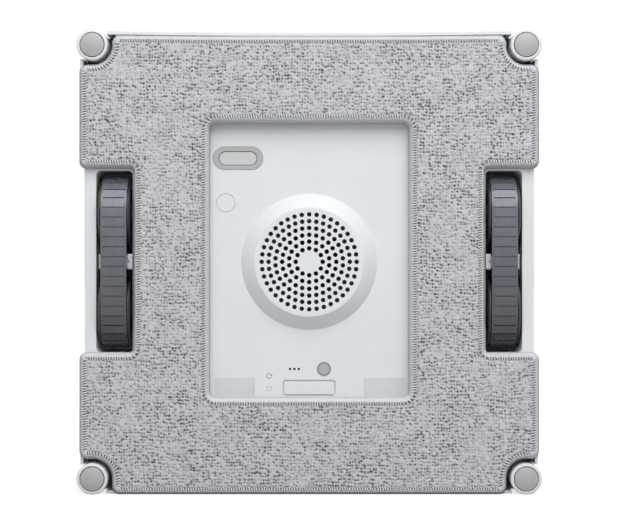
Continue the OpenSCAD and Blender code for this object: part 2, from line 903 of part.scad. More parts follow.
function polar(r, a) = [r * cos(a), r * sin(a)];
function blade_edge(r0, r1, sweep, side) = [
    for (i = [0:blade_steps])
        let (t = i / blade_steps, r = r0 + (r1 - r0) * t)
        polar(r, sweep * t + side * asin(blade_t / 2 / r))
];
module blades(count, r0, r1, sweep) {
    back = blade_edge(r0, r1, sweep, -1);
    for (i = [0:count - 1]) {
        rotate(360 * i / count) polygon(concat(
            blade_edge(r0, r1, sweep, 1), [for (j = [blade_steps:-1:0]) back[j]]
        ));
    }
}

module fan_housing() color(pale) {
    difference() {
        rod_y(0, 0, fan_front, back_y, fan_r + fan_wall);
        rod_y(0, 0, fan_front + lip_t, back_y + cut, fan_r);
        rod_y(0, 0, fan_front - cut, fan_front + lip_t + cut, eye_r);
    }
    slab(motor_front, motor_front + vane_l) {
        difference() {
            circle(r = fan_motor_r + seat_gap + ring_t);
            circle(r = fan_motor_r + seat_gap);
        }
        blades(guide_vanes, fan_motor_r + ring_t / 2, fan_r + fan_wall / 2, -blade_sweep / 3);
    }
}

module fan_motor() color(steel) difference() {
    turned(0, 0) polygon([
        [0, motor_front], [fan_motor_r - fan_motor_bevel, motor_front],
        [fan_motor_r, motor_front + fan_motor_bevel], [fan_motor_r, motor_back - fan_motor_bevel],
        [fan_motor_r - fan_motor_bevel, motor_back], [fan_motor_r / 3, motor_back],
        [fan_motor_r / 3, motor_back + fan_motor_boss], [0, motor_back + fan_motor_boss]
    ]);
    rod_y(0, 0, motor_front - cut, motor_back - fan_shaft_in + end_gap, fan_shaft_r + running_gap);
}

module fan_impeller() color(dark) difference() {
    union() {
        slab(impeller_front, impeller_back - impeller_plate / 2) {
            blades(fan_blades, blade_in_r - blade_t, impeller_r - blade_t / 4, -blade_sweep);
        }
        turned(0, 0) polygon([
            [0, impeller_front + impeller_nose], [impeller_hub_r / 2, impeller_front + impeller_nose],
            [impeller_hub_r, impeller_front + blade_h / 2],
            [blade_in_r, impeller_back - impeller_plate - impeller_fillet],
            [blade_in_r + 2 * impeller_fillet, impeller_back - impeller_plate], [impeller_r, impeller_back - impeller_plate],
            [impeller_r, impeller_back], [0, impeller_back]
        ]);
    }
    rod_y(0, 0, impeller_front + fan_shaft_in, impeller_back + cut, fan_shaft_r + seat_gap / 2);
}

module fan_shaft() color(steel) rod_y(0, 0, impeller_front + fan_shaft_in, motor_back - fan_shaft_in, fan_shaft_r);

// The tracks, drawn for the right side

module loop_shape(r) {
    for (s = [-1, 1]) {
        translate([belt_r, s * wheel_z]) circle(r = r);
    }
    translate([belt_r, 0]) square([2 * r, wheel_spread], center = true);
}

// Place on the belt's outer face at one distance along it: y, z and the angle of its normal
function belt_place(d) =
    d < wheel_spread ? [0, d - wheel_z, 180] :
    d < wheel_spread + belt_turn ?
        let (a = 180 * (1 - (d - wheel_spread) / belt_turn))
        [belt_r + belt_r * cos(a), wheel_z + belt_r * sin(a), a] :
    d < 2 * wheel_spread + belt_turn ? [2 * belt_r, wheel_z - (d - wheel_spread - belt_turn), 0] :
        let (a = -180 * (d - 2 * wheel_spread - belt_turn) / belt_turn)
        [belt_r + belt_r * cos(a), -wheel_z + belt_r * sin(a), a];

// Flat lugs between cross grooves, and a smooth border on each side
module track_belt() color(belt_grey) {
    middle = belt_w / 2 - belt_border;
    places = [for (i = [0:belt_grooves - 1]) belt_place((i + 0.5) * groove_pitch)];
    across(track_x - middle, track_x + middle) difference() {
        polygon([for (p = places) [p[0], p[1]]]);
        loop_shape(belt_in_r);
        for (p = places) {
            translate([p[0], p[1]]) rotate(p[2]) square([2 * groove_d, groove_w], center = true);
        }
    }
    for (s = [-1, 1]) {
        edge = track_x + s * (middle + belt_border / 2);
        across(edge - belt_border / 2, edge + belt_border / 2) difference() {
            loop_shape(belt_r - groove_d / 2);
            loop_shape(belt_in_r);
        }
    }
}

// Profile of a wheel in radius and distance along its axle
module wheel_profile(bore) {
    rim = belt_w / 2 + free_gap;
    polygon([
        [bore, -wheel_half], [wheel_boss_r, -wheel_half], [wheel_boss_r, wheel_web_depth - wheel_half],
        [wheel_web_r, wheel_web_depth - wheel_half], [wheel_web_r, -wheel_half], [flange_r - flange_t / 2, -wheel_half],
        [flange_r, -wheel_half + flange_t / 2], [flange_r, -rim], [wheel_r, -rim],
        [wheel_r, rim], [flange_r, rim], [flange_r, wheel_half - flange_t / 2],
        [flange_r - flange_t / 2, wheel_half], [wheel_web_r, wheel_half], [wheel_web_r, wheel_half - wheel_web_depth],
        [wheel_boss_r, wheel_half - wheel_web_depth], [wheel_boss_r, wheel_half], [bore, wheel_half]
    ]);
}

module track_wheel(z, bore) color(dark) difference() {
    translate([track_x, belt_r, z]) rotate([0, 90, 0]) rotate_extrude() wheel_profile(bore);
    for (i = [0:wheel_holes - 1]) {
        a = 360 * (i + 0.5) / wheel_holes;
        mid = (wheel_boss_r + wheel_web_r) / 2;
        rod_x(belt_r + mid * cos(a), z + mid * sin(a), track_x - wheel_half, track_x + wheel_half,
            (wheel_web_r - wheel_boss_r) / 3);
    }
}

module drive_wheel() track_wheel(wheel_z, shaft_r + seat_gap / 2);
module idler_wheel() track_wheel(-wheel_z, axle_r + running_gap);

module drive_shaft() color(steel) rod_x(belt_r, wheel_z, drive_plane - end_gap / 2, pocket_out + pocket_wall, shaft_r);

module idler_axles() color(steel) {
    rod_x(belt_r, -wheel_z, gear_wall_x, pocket_out + pocket_wall, axle_r);
    left_side() rod_x(belt_r, -wheel_z, gear_wall_x, pocket_out + pocket_wall, axle_r);
}

// Two bushes of one track: a flange outside the pocket and a sleeve through its wall
module track_bushes() {
    difference() {
        union() {
            rod_x(belt_r, wheel_z, gear_wall_x - bush_flange_t, gear_wall_x, bush_flange_r);
            rod_x(belt_r, wheel_z, gear_wall_x - bush_flange_t, pocket_in + end_gap / 2, bush_r);
            rod_x(belt_r, wheel_z, pocket_out + pocket_wall, pocket_out + pocket_wall + bush_flange_t, bush_flange_r);
            rod_x(belt_r, wheel_z, pocket_out - end_gap / 2, pocket_out + pocket_wall + bush_flange_t, bush_r);
        }
        rod_x(belt_r, wheel_z, gear_wall_x - bush_flange_t - cut, pocket_out + pocket_wall + bush_flange_t + cut,
            shaft_r + running_gap);
    }
}

module shaft_bushes() color(bronze) {
    track_bushes();
    left_side() track_bushes();
}

// Bracket inside the belt loop: a root on the pocket wall, a ribbed beam and an end plate
module track_frame() color(pale) {
    belt_in = track_x - belt_w / 2;
    belt_out = track_x + belt_w / 2;
    y0 = belt_t + frame_clear;
    y1 = 2 * belt_r - belt_t - frame_clear;
    mid = (y0 + y1) / 2;
    difference() {
        across(pocket_in, belt_in - free_gap) translate([mid, 0]) rounded(y1 - y0, frame_h, frame_round);
        rod_y(belt_in - free_gap, 0, y0 - cut, y0 + frame_web, frame_notch_r);
    }
    across(belt_out + end_plate_gap, belt_out + end_plate_gap + end_plate_t) {
        translate([mid, 0]) rounded(y1 - y0, frame_h, frame_round);
    }
    across(pocket_in, belt_out + end_plate_gap + end_plate_t) {
        for (y = [y0 + frame_web, mid, y1 - frame_web]) {
            translate([y, 0]) square([frame_web, frame_h - frame_web], center = true);
        }
        translate([mid, 0]) square([y1 - y0 - frame_web, frame_web], center = true);
    }
}

// The gear train, drawn for the right side

// Half angle of an involute tooth at one radius
function involute(a) = tan(a) * 180 / PI - a;
function tooth_half(m, n, r) =
    let (rp = m * n / 2, rb = rp * cos(pressure_angle), at = max(r, rb))
    (PI * m / 2 - backlash / 2) / (2 * rp) * 180 / PI + involute(pressure_angle) - involute(acos(rb / at));
function gear_points(m, n, phase) =
    let (
        rp = m * n / 2, tip = rp + addendum_share * m, root = rp - dedendum_share * m,
        rb = rp * cos(pressure_angle), low = max(root, rb),
        radii = [root, low, (low + tip) / 2, tip]
    )
    [for (k = [0:n - 1], s = [-1, 1], i = [0:3])
        let (r = s < 0 ? radii[i] : radii[3 - i])
        polar(r, phase + 360 * k / n + s * tooth_half(m, n, r))];

module drive_gear() color(pale) difference() {
    across(drive_plane, drive_plane + drive_face) translate([belt_r, wheel_z]) {
        polygon(gear_points(drive_module, drive_teeth, drive_mesh_angle));
    }
    rod_x(belt_r, wheel_z, drive_plane - cut, drive_plane + drive_face + cut, shaft_r + seat_gap / 2);
}

module reduction_gear() color(white) difference() {
    union() {
        across(drive_plane - end_gap - motor_face / 2, drive_plane + drive_face) translate([reduction_y, reduction_z]) {
            polygon(gear_points(drive_module, small_teeth, drive_mesh_angle + 180 + 180 / small_teeth));
        }
        across(motor_plane, motor_plane + motor_face) translate([reduction_y, reduction_z]) {
            polygon(gear_points(motor_module, large_teeth, motor_mesh_angle));
        }
    }
    rod_x(reduction_y, reduction_z, motor_plane - cut, gear_wall_x + cut, reduction_pin_r + running_gap);
}

module motor_pinion() color(bronze) difference() {
    across(motor_plane - end_gap / 2, motor_plane + motor_face + end_gap) translate([motor_y, motor_z]) {
        polygon(gear_points(motor_module, pinion_teeth, motor_mesh_angle + 180 + 180 / pinion_teeth));
    }
    rod_x(motor_y, motor_z, motor_plane - cut, gear_wall_x, motor_shaft_r + running_gap);
}

module case_shape(inset) {
    translate([(inner_y + case_back) / 2, (case_bottom + case_top) / 2]) {
        rounded(case_back - inner_y - 2 * inset, case_top - case_bottom - 2 * inset, case_r - inset);
    }
}

module gear_case() color(dark) {
    difference() {
        across(case_plate_x, gear_wall_x) case_shape(0);
        across(case_plate_x + case_wall, gear_wall_x + cut) case_shape(case_wall);
        rod_x(motor_y, motor_z, case_plate_x - cut, case_plate_x + case_wall + cut, motor_neck_r + seat_gap);
    }
    rod_x(reduction_y, reduction_z, case_plate_x, gear_wall_x, reduction_pin_r);
}

module drive_motor() color(steel) {
    body_end = case_plate_x - motor_l;
    difference() {
        union() {
            rod_x(motor_y, motor_z, body_end, case_plate_x, motor_r);
            rod_x(motor_y, motor_z, body_end - motor_tail, body_end, motor_neck_r);
            rod_x(motor_y, motor_z, case_plate_x, case_plate_x + case_wall, motor_neck_r);
        }
        for (s = [-1, 1]) {
            translate([body_end + motor_l / 2, motor_y + s * motor_r, motor_z]) {
                cube([motor_l - 2 * motor_flat_in, 2 * motor_flat, motor_r], center = true);
            }
        }
    }
    rod_x(motor_y, motor_z, case_plate_x, motor_plane + motor_face + end_gap, motor_shaft_r);
}

// The corner rollers, drawn round their own line

module corner_roller() color(white) turned(0, 0) {
    inner = sensor_r + sensor_gap;
    back = roller_y + roller_l;
    cavity = post_front + post_flange_t + free_gap;
    polygon([
        [inner, roller_y + roller_rim / 2], [inner + roller_rim / 4, roller_y],
        [roller_r - roller_rim, roller_y], [roller_r - roller_rim * 0.3, roller_y + roller_rim * 0.3],
        [roller_r, roller_y + roller_rim], [roller_r, back - roller_rim], [roller_r - roller_rim, back],
        [post_r + running_gap, back], [post_r + running_gap, cavity], [inner, cavity]
    ]);
}

sensor_steps = 6;
sphere_r = (sensor_r * sensor_r + sensor_dome * sensor_dome) / (2 * sensor_dome);
sphere_a = asin(sensor_r / sphere_r);
module edge_sensor() color(grey) turned(0, 0) polygon(concat(
    [for (i = [0:sensor_steps]) let (a = sphere_a * i / sensor_steps) [sphere_r * sin(a), sphere_r * (1 - cos(a))]],
    [[sensor_r, sensor_back], [stem_r, sensor_back], [stem_r, sensor_back + stem_l], [0, sensor_back + stem_l]]
));

module roller_posts() color(steel) at_corners() difference() {
    union() {
        rod_y(0, 0, post_front, post_front + post_flange_t, post_flange_r);
        rod_y(0, 0, post_front, recess_back, post_r);
    }
    rod_y(0, 0, post_front - cut, recess_back + cut, stem_r + running_gap);
    rod_y(0, 0, post_front - cut, spring_floor, spring_room_r);
}

// One helical spring from the sensor's back to the post's floor
spring_sides = 6;
spring_rings = 8;
module coil(y0, y1) {
    n = spring_turns * spring_rings;
    rise = (y1 - y0 - spring_wire) / n;
    polyhedron(
        points = [for (k = [0:n], j = [0:spring_sides - 1])
            let (a = 360 * k / spring_rings, b = 360 * j / spring_sides, r = spring_r + spring_wire / 2 * cos(b))
            [r * cos(a), y0 + spring_wire / 2 + rise * k + spring_wire / 2 * sin(b), r * sin(a)]],
        faces = concat(
            [[for (j = [0:spring_sides - 1]) j]],
            [for (k = [0:n - 1], j = [0:spring_sides - 1], f = [0, 1])
                let (
                    p = k * spring_sides + j, q = k * spring_sides + (j + 1) % spring_sides,
                    u = p + spring_sides, v = q + spring_sides
                )
                f == 0 ? [p, u, v] : [p, v, q]],
            [[for (j = [spring_sides - 1:-1:0]) n * spring_sides + j]]
        )
    );
}

module sensor_springs() color(steel) at_corners() coil(sensor_back + seat_gap, spring_floor - seat_gap);

// The pieces of the panel

module switch_bezel() color(grey) difference() {
    union() {
        slab(bezel_y, panel_back) translate([switch_x, switch_z]) pill(bezel_l, bezel_h);
        slab(panel_back, bezel_back) translate([switch_x, switch_z]) {
            rounded(bezel_l - 2 * bezel_step, bezel_h - 2 * bezel_step, bezel_step);
        }
    }
    slab(bezel_y - cut, bezel_y + switch_room) translate([switch_x, switch_z]) {
        pill(switch_l + 2 * switch_gap, switch_h + 2 * switch_gap);
    }
    translate([switch_x, switch_pin_y, switch_z - switch_h / 2 - switch_pin_out - seat_gap]) {
        cylinder(h = switch_h + 2 * (switch_pin_out + seat_gap), r = switch_pin_r + running_gap);
    }
}

module power_switch() color(pale) {
    slab(switch_y, switch_y + switch_t) translate([switch_x, switch_z]) pill(switch_l, switch_h);
    translate([switch_x, switch_pin_y, switch_z - switch_h / 2 - switch_pin_out]) {
        cylinder(h = switch_h + 2 * switch_pin_out, r = switch_pin_r);
    }
}

module round_cap() color(white) {
    rod_y(cap_x, cap_z, panel_y, panel_y + plate_t / 2, cap_r);
    rod_y(cap_x, cap_z, panel_y, panel_back + cap_stem_out, cap_stem_r);
}

module service_cover() color(white) {
    slab(panel_y, panel_y + service_deep) translate([0, service_z]) {
        rounded(service_l - 2 * service_groove, service_h - 2 * service_groove, service_r - service_groove);
    }
    slab(panel_y + service_deep - service_foot, panel_y + service_deep) translate([0, service_z]) {
        rounded(service_l - 2 * seat_gap, service_h - 2 * seat_gap, service_r - seat_gap);
    }
}

module status_lens() color(grey) {
    rod_y(lens_x, lens_z, panel_y - lens_rise, panel_back + lens_flange, lens_r);
    rod_y(lens_x, lens_z, panel_back, panel_back + lens_flange, lens_r + lens_flange);
}

module reset_button() color(pale) {
    rod_y(reset_x, reset_z, panel_y, panel_back + free_gap, reset_r);
    rod_y(reset_x, reset_z, panel_back + free_gap, panel_back + free_gap + reset_head, 2 * reset_r);
}

// Inside

module main_board() {
    top = board_y + board_t;
    mid = board_z + board_h / 2;
    color(green) difference() {
        slab(board_y, top) translate([0, mid]) square([board_w, board_h], center = true);
        at_board_posts() rod_y(0, 0, board_y - cut, top + cut, screw_r);
    }
    color(black) {
        slab(board_y + board_t / 2, top + chip_t) for (c = chip_shares) {
            translate([c[0] * board_w, mid]) square([c[1] * board_w, c[2] * board_h], center = true);
        }
        for (c = can_shares) {
            rod_y(c[0] * board_w, mid, board_y + board_t / 2, top + can_h, c[1] * board_w / 2);
        }
    }
    color(white) slab(board_y + board_t / 2, top + plug_t) for (c = plug_shares) {
        translate([c[0] * board_w, mid]) square([c[1] * board_w, c[2] * board_h], center = true);
    }
}

module battery_pack() color(blue) across(-battery_side, battery_side) {
    for (s = [-1, 1]) {
        translate([inner_y + cell_r, battery_z + s * cell_r]) circle(r = cell_r);
    }
    translate([inner_y + cell_r, battery_z]) square([2 * cell_r, 2 * cell_r], center = true);
}

// The back

module exhaust_grille() color(pale) {
    slot_in = hub_r + slot_margin;
    slot_out = exhaust_r - grille_rim;
    hub_back = start_back - start_travel - end_gap;
    slab(grille_y, grille_y + grille_t) difference() {
        circle(r = exhaust_r);
        circle(r = hub_r - hub_wall);
        for (i = [0:exhaust_slots - 1]) {
            rotate(360 * i / exhaust_slots) translate([(slot_in + slot_out) / 2, 0]) {
                pill(slot_out - slot_in, slot_w);
            }
        }
    }
    slab(hub_back - hub_floor, grille_y) difference() {
        circle(r = hub_r);
        circle(r = hub_r - hub_wall);
    }
    slab(hub_back - hub_floor, hub_back) circle(r = hub_r);
}

module indicator_ring() color(white) slab(start_back, overall_d - ring_sunk) difference() {
    circle(r = start_r + free_gap + ring_w - seat_gap);
    circle(r = start_r + free_gap);
}

module start_button() color(grey) slab(start_back, start_back + start_t) circle(r = start_r);

module cord_gland() color(dark) difference() {
    union() {
        rod_y(gland_x, gland_z, overall_d - gland_groove, overall_d, gland_r);
        rod_y(gland_x, gland_z, back_y - gland_neck, overall_d, gland_r - gland_groove);
    }
    rod_y(gland_x, gland_z, back_y - gland_neck - cut, overall_d + cut, gland_bore_r);
}

module rope_anchor() color(steel) rod_x(overall_d - anchor_deep / 2, gland_z,
    anchor_x - anchor_recess_r - anchor_wall, anchor_x + anchor_recess_r + anchor_wall, anchor_r);

base_housing();
top_cover();
housing_seal();
cover_screws();
roller_cups();
cleaning_cloth();
hook_strips();
fan_grille();
fan_gasket();
fan_housing();
fan_motor();
fan_impeller();
fan_shaft();
left_side() track_belt();  // left_track_belt
track_belt();  // right_track_belt
left_side() track_frame();  // left_track_frame
track_frame();  // right_track_frame
left_side() drive_wheel();  // left_drive_wheel
drive_wheel();  // right_drive_wheel
left_side() idler_wheel();  // left_idler_wheel
idler_wheel();  // right_idler_wheel
left_side() drive_shaft();  // left_drive_shaft
drive_shaft();  // right_drive_shaft
idler_axles();
shaft_bushes();
left_side() drive_gear();  // left_drive_gear
drive_gear();  // right_drive_gear
left_side() reduction_gear();  // left_reduction_gear
reduction_gear();  // right_reduction_gear
left_side() motor_pinion();  // left_motor_pinion
motor_pinion();  // right_motor_pinion
left_side() gear_case();  // left_gear_case
gear_case();  // right_gear_case
left_side() drive_motor();  // left_drive_motor
drive_motor();  // right_drive_motor
translate([-roller_at, 0, roller_at]) corner_roller();  // top_left_roller
translate([roller_at, 0, roller_at]) corner_roller();  // top_right_roller
translate([-roller_at, 0, -roller_at]) corner_roller();  // bottom_left_roller
translate([roller_at, 0, -roller_at]) corner_roller();  // bottom_right_roller
translate([-roller_at, 0, roller_at]) edge_sensor();  // top_left_sensor
translate([roller_at, 0, roller_at]) edge_sensor();  // top_right_sensor
translate([-roller_at, 0, -roller_at]) edge_sensor();  // bottom_left_sensor
translate([roller_at, 0, -roller_at]) edge_sensor();  // bottom_right_sensor
roller_posts();
sensor_springs();
switch_bezel();
power_switch();
round_cap();
service_cover();
status_lens();
reset_button();
main_board();
battery_pack();
exhaust_grille();
start_button();
indicator_ring();
cord_gland();
rope_anchor();
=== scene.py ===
"""Looks of the window cleaning robot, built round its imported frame.

The glass is the plane y = 0 and the body lies behind it, with x to the right and z up, in metres.
"""

import math

import bmesh
import bpy
import numpy as np
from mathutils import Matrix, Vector
from mathutils.geometry import delaunay_2d_cdt


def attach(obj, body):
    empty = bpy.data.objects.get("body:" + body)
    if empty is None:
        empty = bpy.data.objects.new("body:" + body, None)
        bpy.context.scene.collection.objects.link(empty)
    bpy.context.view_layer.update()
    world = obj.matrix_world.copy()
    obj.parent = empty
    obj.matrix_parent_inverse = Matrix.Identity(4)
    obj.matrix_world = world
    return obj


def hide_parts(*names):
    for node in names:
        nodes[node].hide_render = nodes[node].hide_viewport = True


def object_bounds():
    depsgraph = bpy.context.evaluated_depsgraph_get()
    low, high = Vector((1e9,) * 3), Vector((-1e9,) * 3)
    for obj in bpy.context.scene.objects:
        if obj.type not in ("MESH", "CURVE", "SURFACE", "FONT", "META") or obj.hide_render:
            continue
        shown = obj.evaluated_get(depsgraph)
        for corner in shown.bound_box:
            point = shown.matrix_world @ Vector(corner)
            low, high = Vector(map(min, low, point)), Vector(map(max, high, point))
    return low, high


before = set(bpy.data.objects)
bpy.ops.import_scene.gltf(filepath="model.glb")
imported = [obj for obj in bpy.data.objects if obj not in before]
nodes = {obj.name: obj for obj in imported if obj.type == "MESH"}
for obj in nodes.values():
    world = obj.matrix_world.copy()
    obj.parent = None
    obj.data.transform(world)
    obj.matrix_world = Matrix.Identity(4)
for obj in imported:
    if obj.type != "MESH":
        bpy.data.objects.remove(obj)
cad_low, cad_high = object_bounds()
scene = bpy.context.scene
MM = 0.001
TURN = 2 * math.pi

# Camera

CAMERA_AWAY = 0.8  # from the glass plane
IMAGE_W = 617
VIEW_W = 0.3054  # width of the view at the glass plane
SENSOR = 36.0
CENTRE_RIGHT, CENTRE_UP = 0.7, 3.2  # pixels from the image's centre to the object's
CLIP_START, CLIP_END = 0.01, 50

camera = bpy.data.objects.new("camera", bpy.data.cameras.new("camera"))
scene.collection.objects.link(camera)
camera.location = (0, -CAMERA_AWAY, 0)
camera.rotation_euler = (math.pi / 2, 0, 0)
camera.data.sensor_width = SENSOR
camera.data.lens = SENSOR * CAMERA_AWAY / VIEW_W
camera.data.shift_x = -CENTRE_RIGHT / IMAGE_W
camera.data.shift_y = -CENTRE_UP / IMAGE_W
camera.data.clip_start, camera.data.clip_end = CLIP_START, CLIP_END
scene.camera = camera
scene.view_settings.view_transform = "Standard"

# Materials. Sizes and depths are in millimetres, colours in display bytes.

NOISE_LOW, NOISE_HIGH = 0.3, 0.7  # most values of a noise texture lie between these


def linear(red, green, blue):
    """A display colour in bytes as the linear colour that a shader takes."""
    parts = [c / 255 for c in (red, green, blue)]
    return tuple(c / 12.92 if c <= 0.04045 else ((c + 0.055) / 1.055) ** 2.4 for c in parts) + (1.0,)


class Look:
    """A node material. Its textures read the frame's coordinates, and sizes are in millimetres."""

    def __init__(self, name, **sockets):
        self.material = bpy.data.materials.new(name)
        self.material.use_nodes = True
        self.tree = self.material.node_tree
        self.tree.nodes.clear()
        self.shader = self.node("ShaderNodeBsdfPrincipled")
        self.link(self.shader.outputs[0], self.node("ShaderNodeOutputMaterial").inputs[0])
        self.where = self.node("ShaderNodeTexCoord").outputs["Object"]
        for socket, value in sockets.items():
            self.shader.inputs[socket.replace("_", " ")].default_value = value

    def node(self, kind, **values):
        made = self.tree.nodes.new(kind)
        for key, value in values.items():
            setattr(made, key, value)
        return made

    def link(self, source, target):
        self.tree.links.new(source, target)

    def noise(self, size, detail=2.0, stretch=(1, 1, 1)):
        place = self.node("ShaderNodeMapping")
        place.inputs["Scale"].default_value = [s / (size * MM) for s in stretch]
        self.link(self.where, place.inputs["Vector"])
        made = self.node("ShaderNodeTexNoise")
        made.inputs["Scale"].default_value = 1.0
        made.inputs["Detail"].default_value = detail
        self.link(place.outputs[0], made.inputs["Vector"])
        return made.outputs["Fac"]

    def attribute(self, name):
        return self.node("ShaderNodeAttribute", attribute_name=name).outputs["Fac"]

    def ranged(self, value, low, high, start=NOISE_LOW, stop=NOISE_HIGH):
        """Maps start to low and stop to high, and clamps beyond."""
        made = self.node("ShaderNodeMapRange")
        for socket, number in zip(("From Min", "From Max", "To Min", "To Max"), (start, stop, low, high)):
            made.inputs[socket].default_value = number
        self.link(value, made.inputs["Value"])
        return made.outputs[0]

    def math(self, operation, a, b):
        made = self.node("ShaderNodeMath", operation=operation)
        for socket, value in zip(made.inputs, (a, b)):
            if isinstance(value, (int, float)):
                socket.default_value = value
            else:
                self.link(value, socket)
        return made.outputs[0]

    def absolute(self, value):
        return self.math("ABSOLUTE", value, 0.0)

    def axes(self):
        """The x, y and z of the place, each as a socket."""
        parts = self.node("ShaderNodeSeparateXYZ")
        self.link(self.where, parts.inputs[0])
        return parts.outputs

    def tinted(self, colour, factor):
        """A colour times a grey factor."""
        return self.mixed(1.0, colour, factor, "MULTIPLY")

    def mixed(self, share, a, b, blend="MIX"):
        made = self.node("ShaderNodeMix", data_type="RGBA", blend_type=blend)
        for socket, value in zip((made.inputs[0], made.inputs[6], made.inputs[7]), (share, a, b)):
            if isinstance(value, (int, float, tuple)):
                socket.default_value = value
            else:
                self.link(value, socket)
        return made.outputs[2]

    def bump(self, height, depth):
        made = self.node("ShaderNodeBump")
        made.inputs["Strength"].default_value = 1.0
        made.inputs["Distance"].default_value = depth * MM
        self.link(height, made.inputs["Height"])
        self.link(made.outputs[0], self.shader.inputs["Normal"])

    def set(self, socket, value):
        self.link(value, self.shader.inputs[socket])

    def uneven_shine(self, size, detail, rough, spread):
        self.set("Roughness", self.ranged(self.noise(size, detail), rough - spread, rough + spread))


def plastic(name, rgb, rough, grain=0.45, depth=0.02, tone=0.02, patch=26, **sockets):
    """Moulded plastic: a fine eroded grain, faint clouding and uneven shine."""
    look = Look(name, **sockets)
    clouds = look.ranged(look.noise(patch, 4), 1 - tone, 1 + tone)
    specks = look.ranged(look.noise(grain * 1.7, 1), 1 - tone / 2, 1 + tone / 2)
    look.set("Base Color", look.tinted(linear(*rgb), look.math("MULTIPLY", clouds, specks)))
    look.uneven_shine(patch / 4, 5, rough, 0.05)
    look.bump(look.noise(grain, 2), depth)
    return look.material


def metal(name, rgb, rough):
    """Turned or drawn metal with fine lines."""
    look = Look(name, Metallic=1.0)
    lines = look.noise(0.3, 3, (1, 1, 0.06))
    dull = [c * 0.86 for c in rgb]
    look.set("Base Color", look.mixed(look.ranged(lines, 0.0, 1.0), linear(*rgb), linear(*dull)))
    look.uneven_shine(4, 4, rough, 0.07)
    look.bump(lines, 0.01)
    return look.material


def rubber(name, rgb, rough):
    """Matt rubber with a cast grain and rubbed paler patches."""
    look = Look(name, Specular_IOR_Level=0.45)
    rubbed = look.ranged(look.noise(7, 5), 0.0, 1.0, 0.45, 0.75)
    pale = tuple(min(255, c * 1.16 + 4) for c in rgb)
    look.set("Base Color", look.mixed(rubbed, linear(*rgb), linear(*pale)))
    look.uneven_shine(2.2, 4, rough, 0.07)
    look.bump(look.noise(0.28, 3), 0.025)
    return look.material


def shaded_rubber(name, low, high, rough, span):
    """Rubber with painted light: paler towards the top of a run and darker towards the bottom, as light from
    above falls on it.
    """
    look = Look(name, Specular_IOR_Level=0.6)
    # Painted light: the colour runs from low at the bottom of the run to high at its top, as the light from
    # above would shade it.
    painted_top_light = look.ranged(look.axes()["Z"], 0, 1, -span * MM, span * MM)
    streaks = look.ranged(look.noise(5, 5), 0.9, 1.1)
    look.set("Base Color", look.tinted(look.mixed(painted_top_light, linear(*low), linear(*high)), streaks))
    look.uneven_shine(2.2, 4, rough, 0.05)
    look.bump(look.noise(0.28, 3), 0.02)
    return look.material


def ringed(name, rgb, rim, place, radius):
    """A smooth plastic disc with painted shade round its edge, the rim times as bright as its middle."""
    look = Look(name, Coat_Weight=0.6, Coat_Roughness=0.08)
    parts = look.axes()
    across = look.math("SUBTRACT", parts["X"], place[0] * MM)
    along = look.math("SUBTRACT", parts["Z"], place[1] * MM)
    squared = look.math("ADD", look.math("MULTIPLY", across, across), look.math("MULTIPLY", along, along))
    away = look.math("POWER", squared, 0.5)
    # Painted shade: the colour darkens towards the disc's rim.
    edge = look.ranged(away, 1.0, rim, 0.67 * radius * MM, 0.77 * radius * MM)
    clouds = look.ranged(look.noise(3, 4), 0.97, 1.03)
    look.set("Base Color", look.tinted(linear(*rgb), look.math("MULTIPLY", edge, clouds)))
    look.uneven_shine(2, 4, 0.25, 0.05)
    return look.material


def cup_plastic(name):
    """Pale plastic behind a corner roller, with painted shade that turns it near black at both open ends of
    its recess.
    """
    look = Look(name)
    parts = look.axes()
    across, along = (look.absolute(parts[axis]) for axis in ("X", "Z"))
    apart = look.absolute(look.math("SUBTRACT", across, along))
    # Painted shade: near black towards both open ends of the recess, where the shade falls deep inside it.
    end_shade = look.ranged(apart, 0, 1, 7.5 * MM, 10.5 * MM)
    clouds = look.ranged(look.noise(6, 4), 0.93, 1.07)
    colour = look.mixed(end_shade, linear(206, 207, 210), linear(16, 16, 18))
    look.set("Base Color", look.tinted(colour, clouds))
    look.uneven_shine(3, 4, 0.525, 0.075)
    look.bump(look.noise(0.45, 2), 0.02)
    return look.material


WHITE = plastic("white_shell", (226, 229, 231), 0.42)
GRILLE_WHITE = plastic("white_grille", (228, 230, 233), 0.38, depth=0.012)
PANEL_GREY = plastic("grey_inset", (176, 177, 179), 0.45, depth=0.025)
SWITCH_GREY = plastic("grey_switch", (202, 203, 204), 0.4)
LIGHT_GREY = plastic("pale_grey_part", (198, 200, 202), 0.5)
SENSOR_GREY = plastic("grey_sensor", (176, 176, 178), 0.42, depth=0.018)
DARK = plastic("dark_part", (40, 41, 45), 0.42, tone=0.06)
BLACK = plastic("black_part", (20, 20, 22), 0.5, tone=0.08)
BELT = shaded_rubber("belt_rubber", (47, 49, 55), (112, 115, 126), 0.26, 46)
SEAL = rubber("seal_rubber", (62, 63, 66), 0.6)
STEEL = metal("turned_steel", (196, 198, 202), 0.32)
BRONZE = metal("sintered_bronze", (190, 150, 96), 0.45)
CUP = cup_plastic("recess_cup")
LENS = ringed("lens_grey", (168, 172, 175), 0.62, (7.4, -53.6), 3.5)
GLOW_RING = plastic("ring_diffuser", (232, 234, 236), 0.3, depth=0.006, Subsurface_Weight=0.2,
                    Subsurface_Scale=0.002)
GEAR = plastic("gear_acetal", (214, 213, 206), 0.4, tone=0.03)
BOARD = plastic("circuit_board", (30, 84, 52), 0.35, grain=0.9, depth=0.02, tone=0.12, patch=6)
CELL = plastic("cell_wrap", (58, 96, 150), 0.25, depth=0.004, tone=0.04)

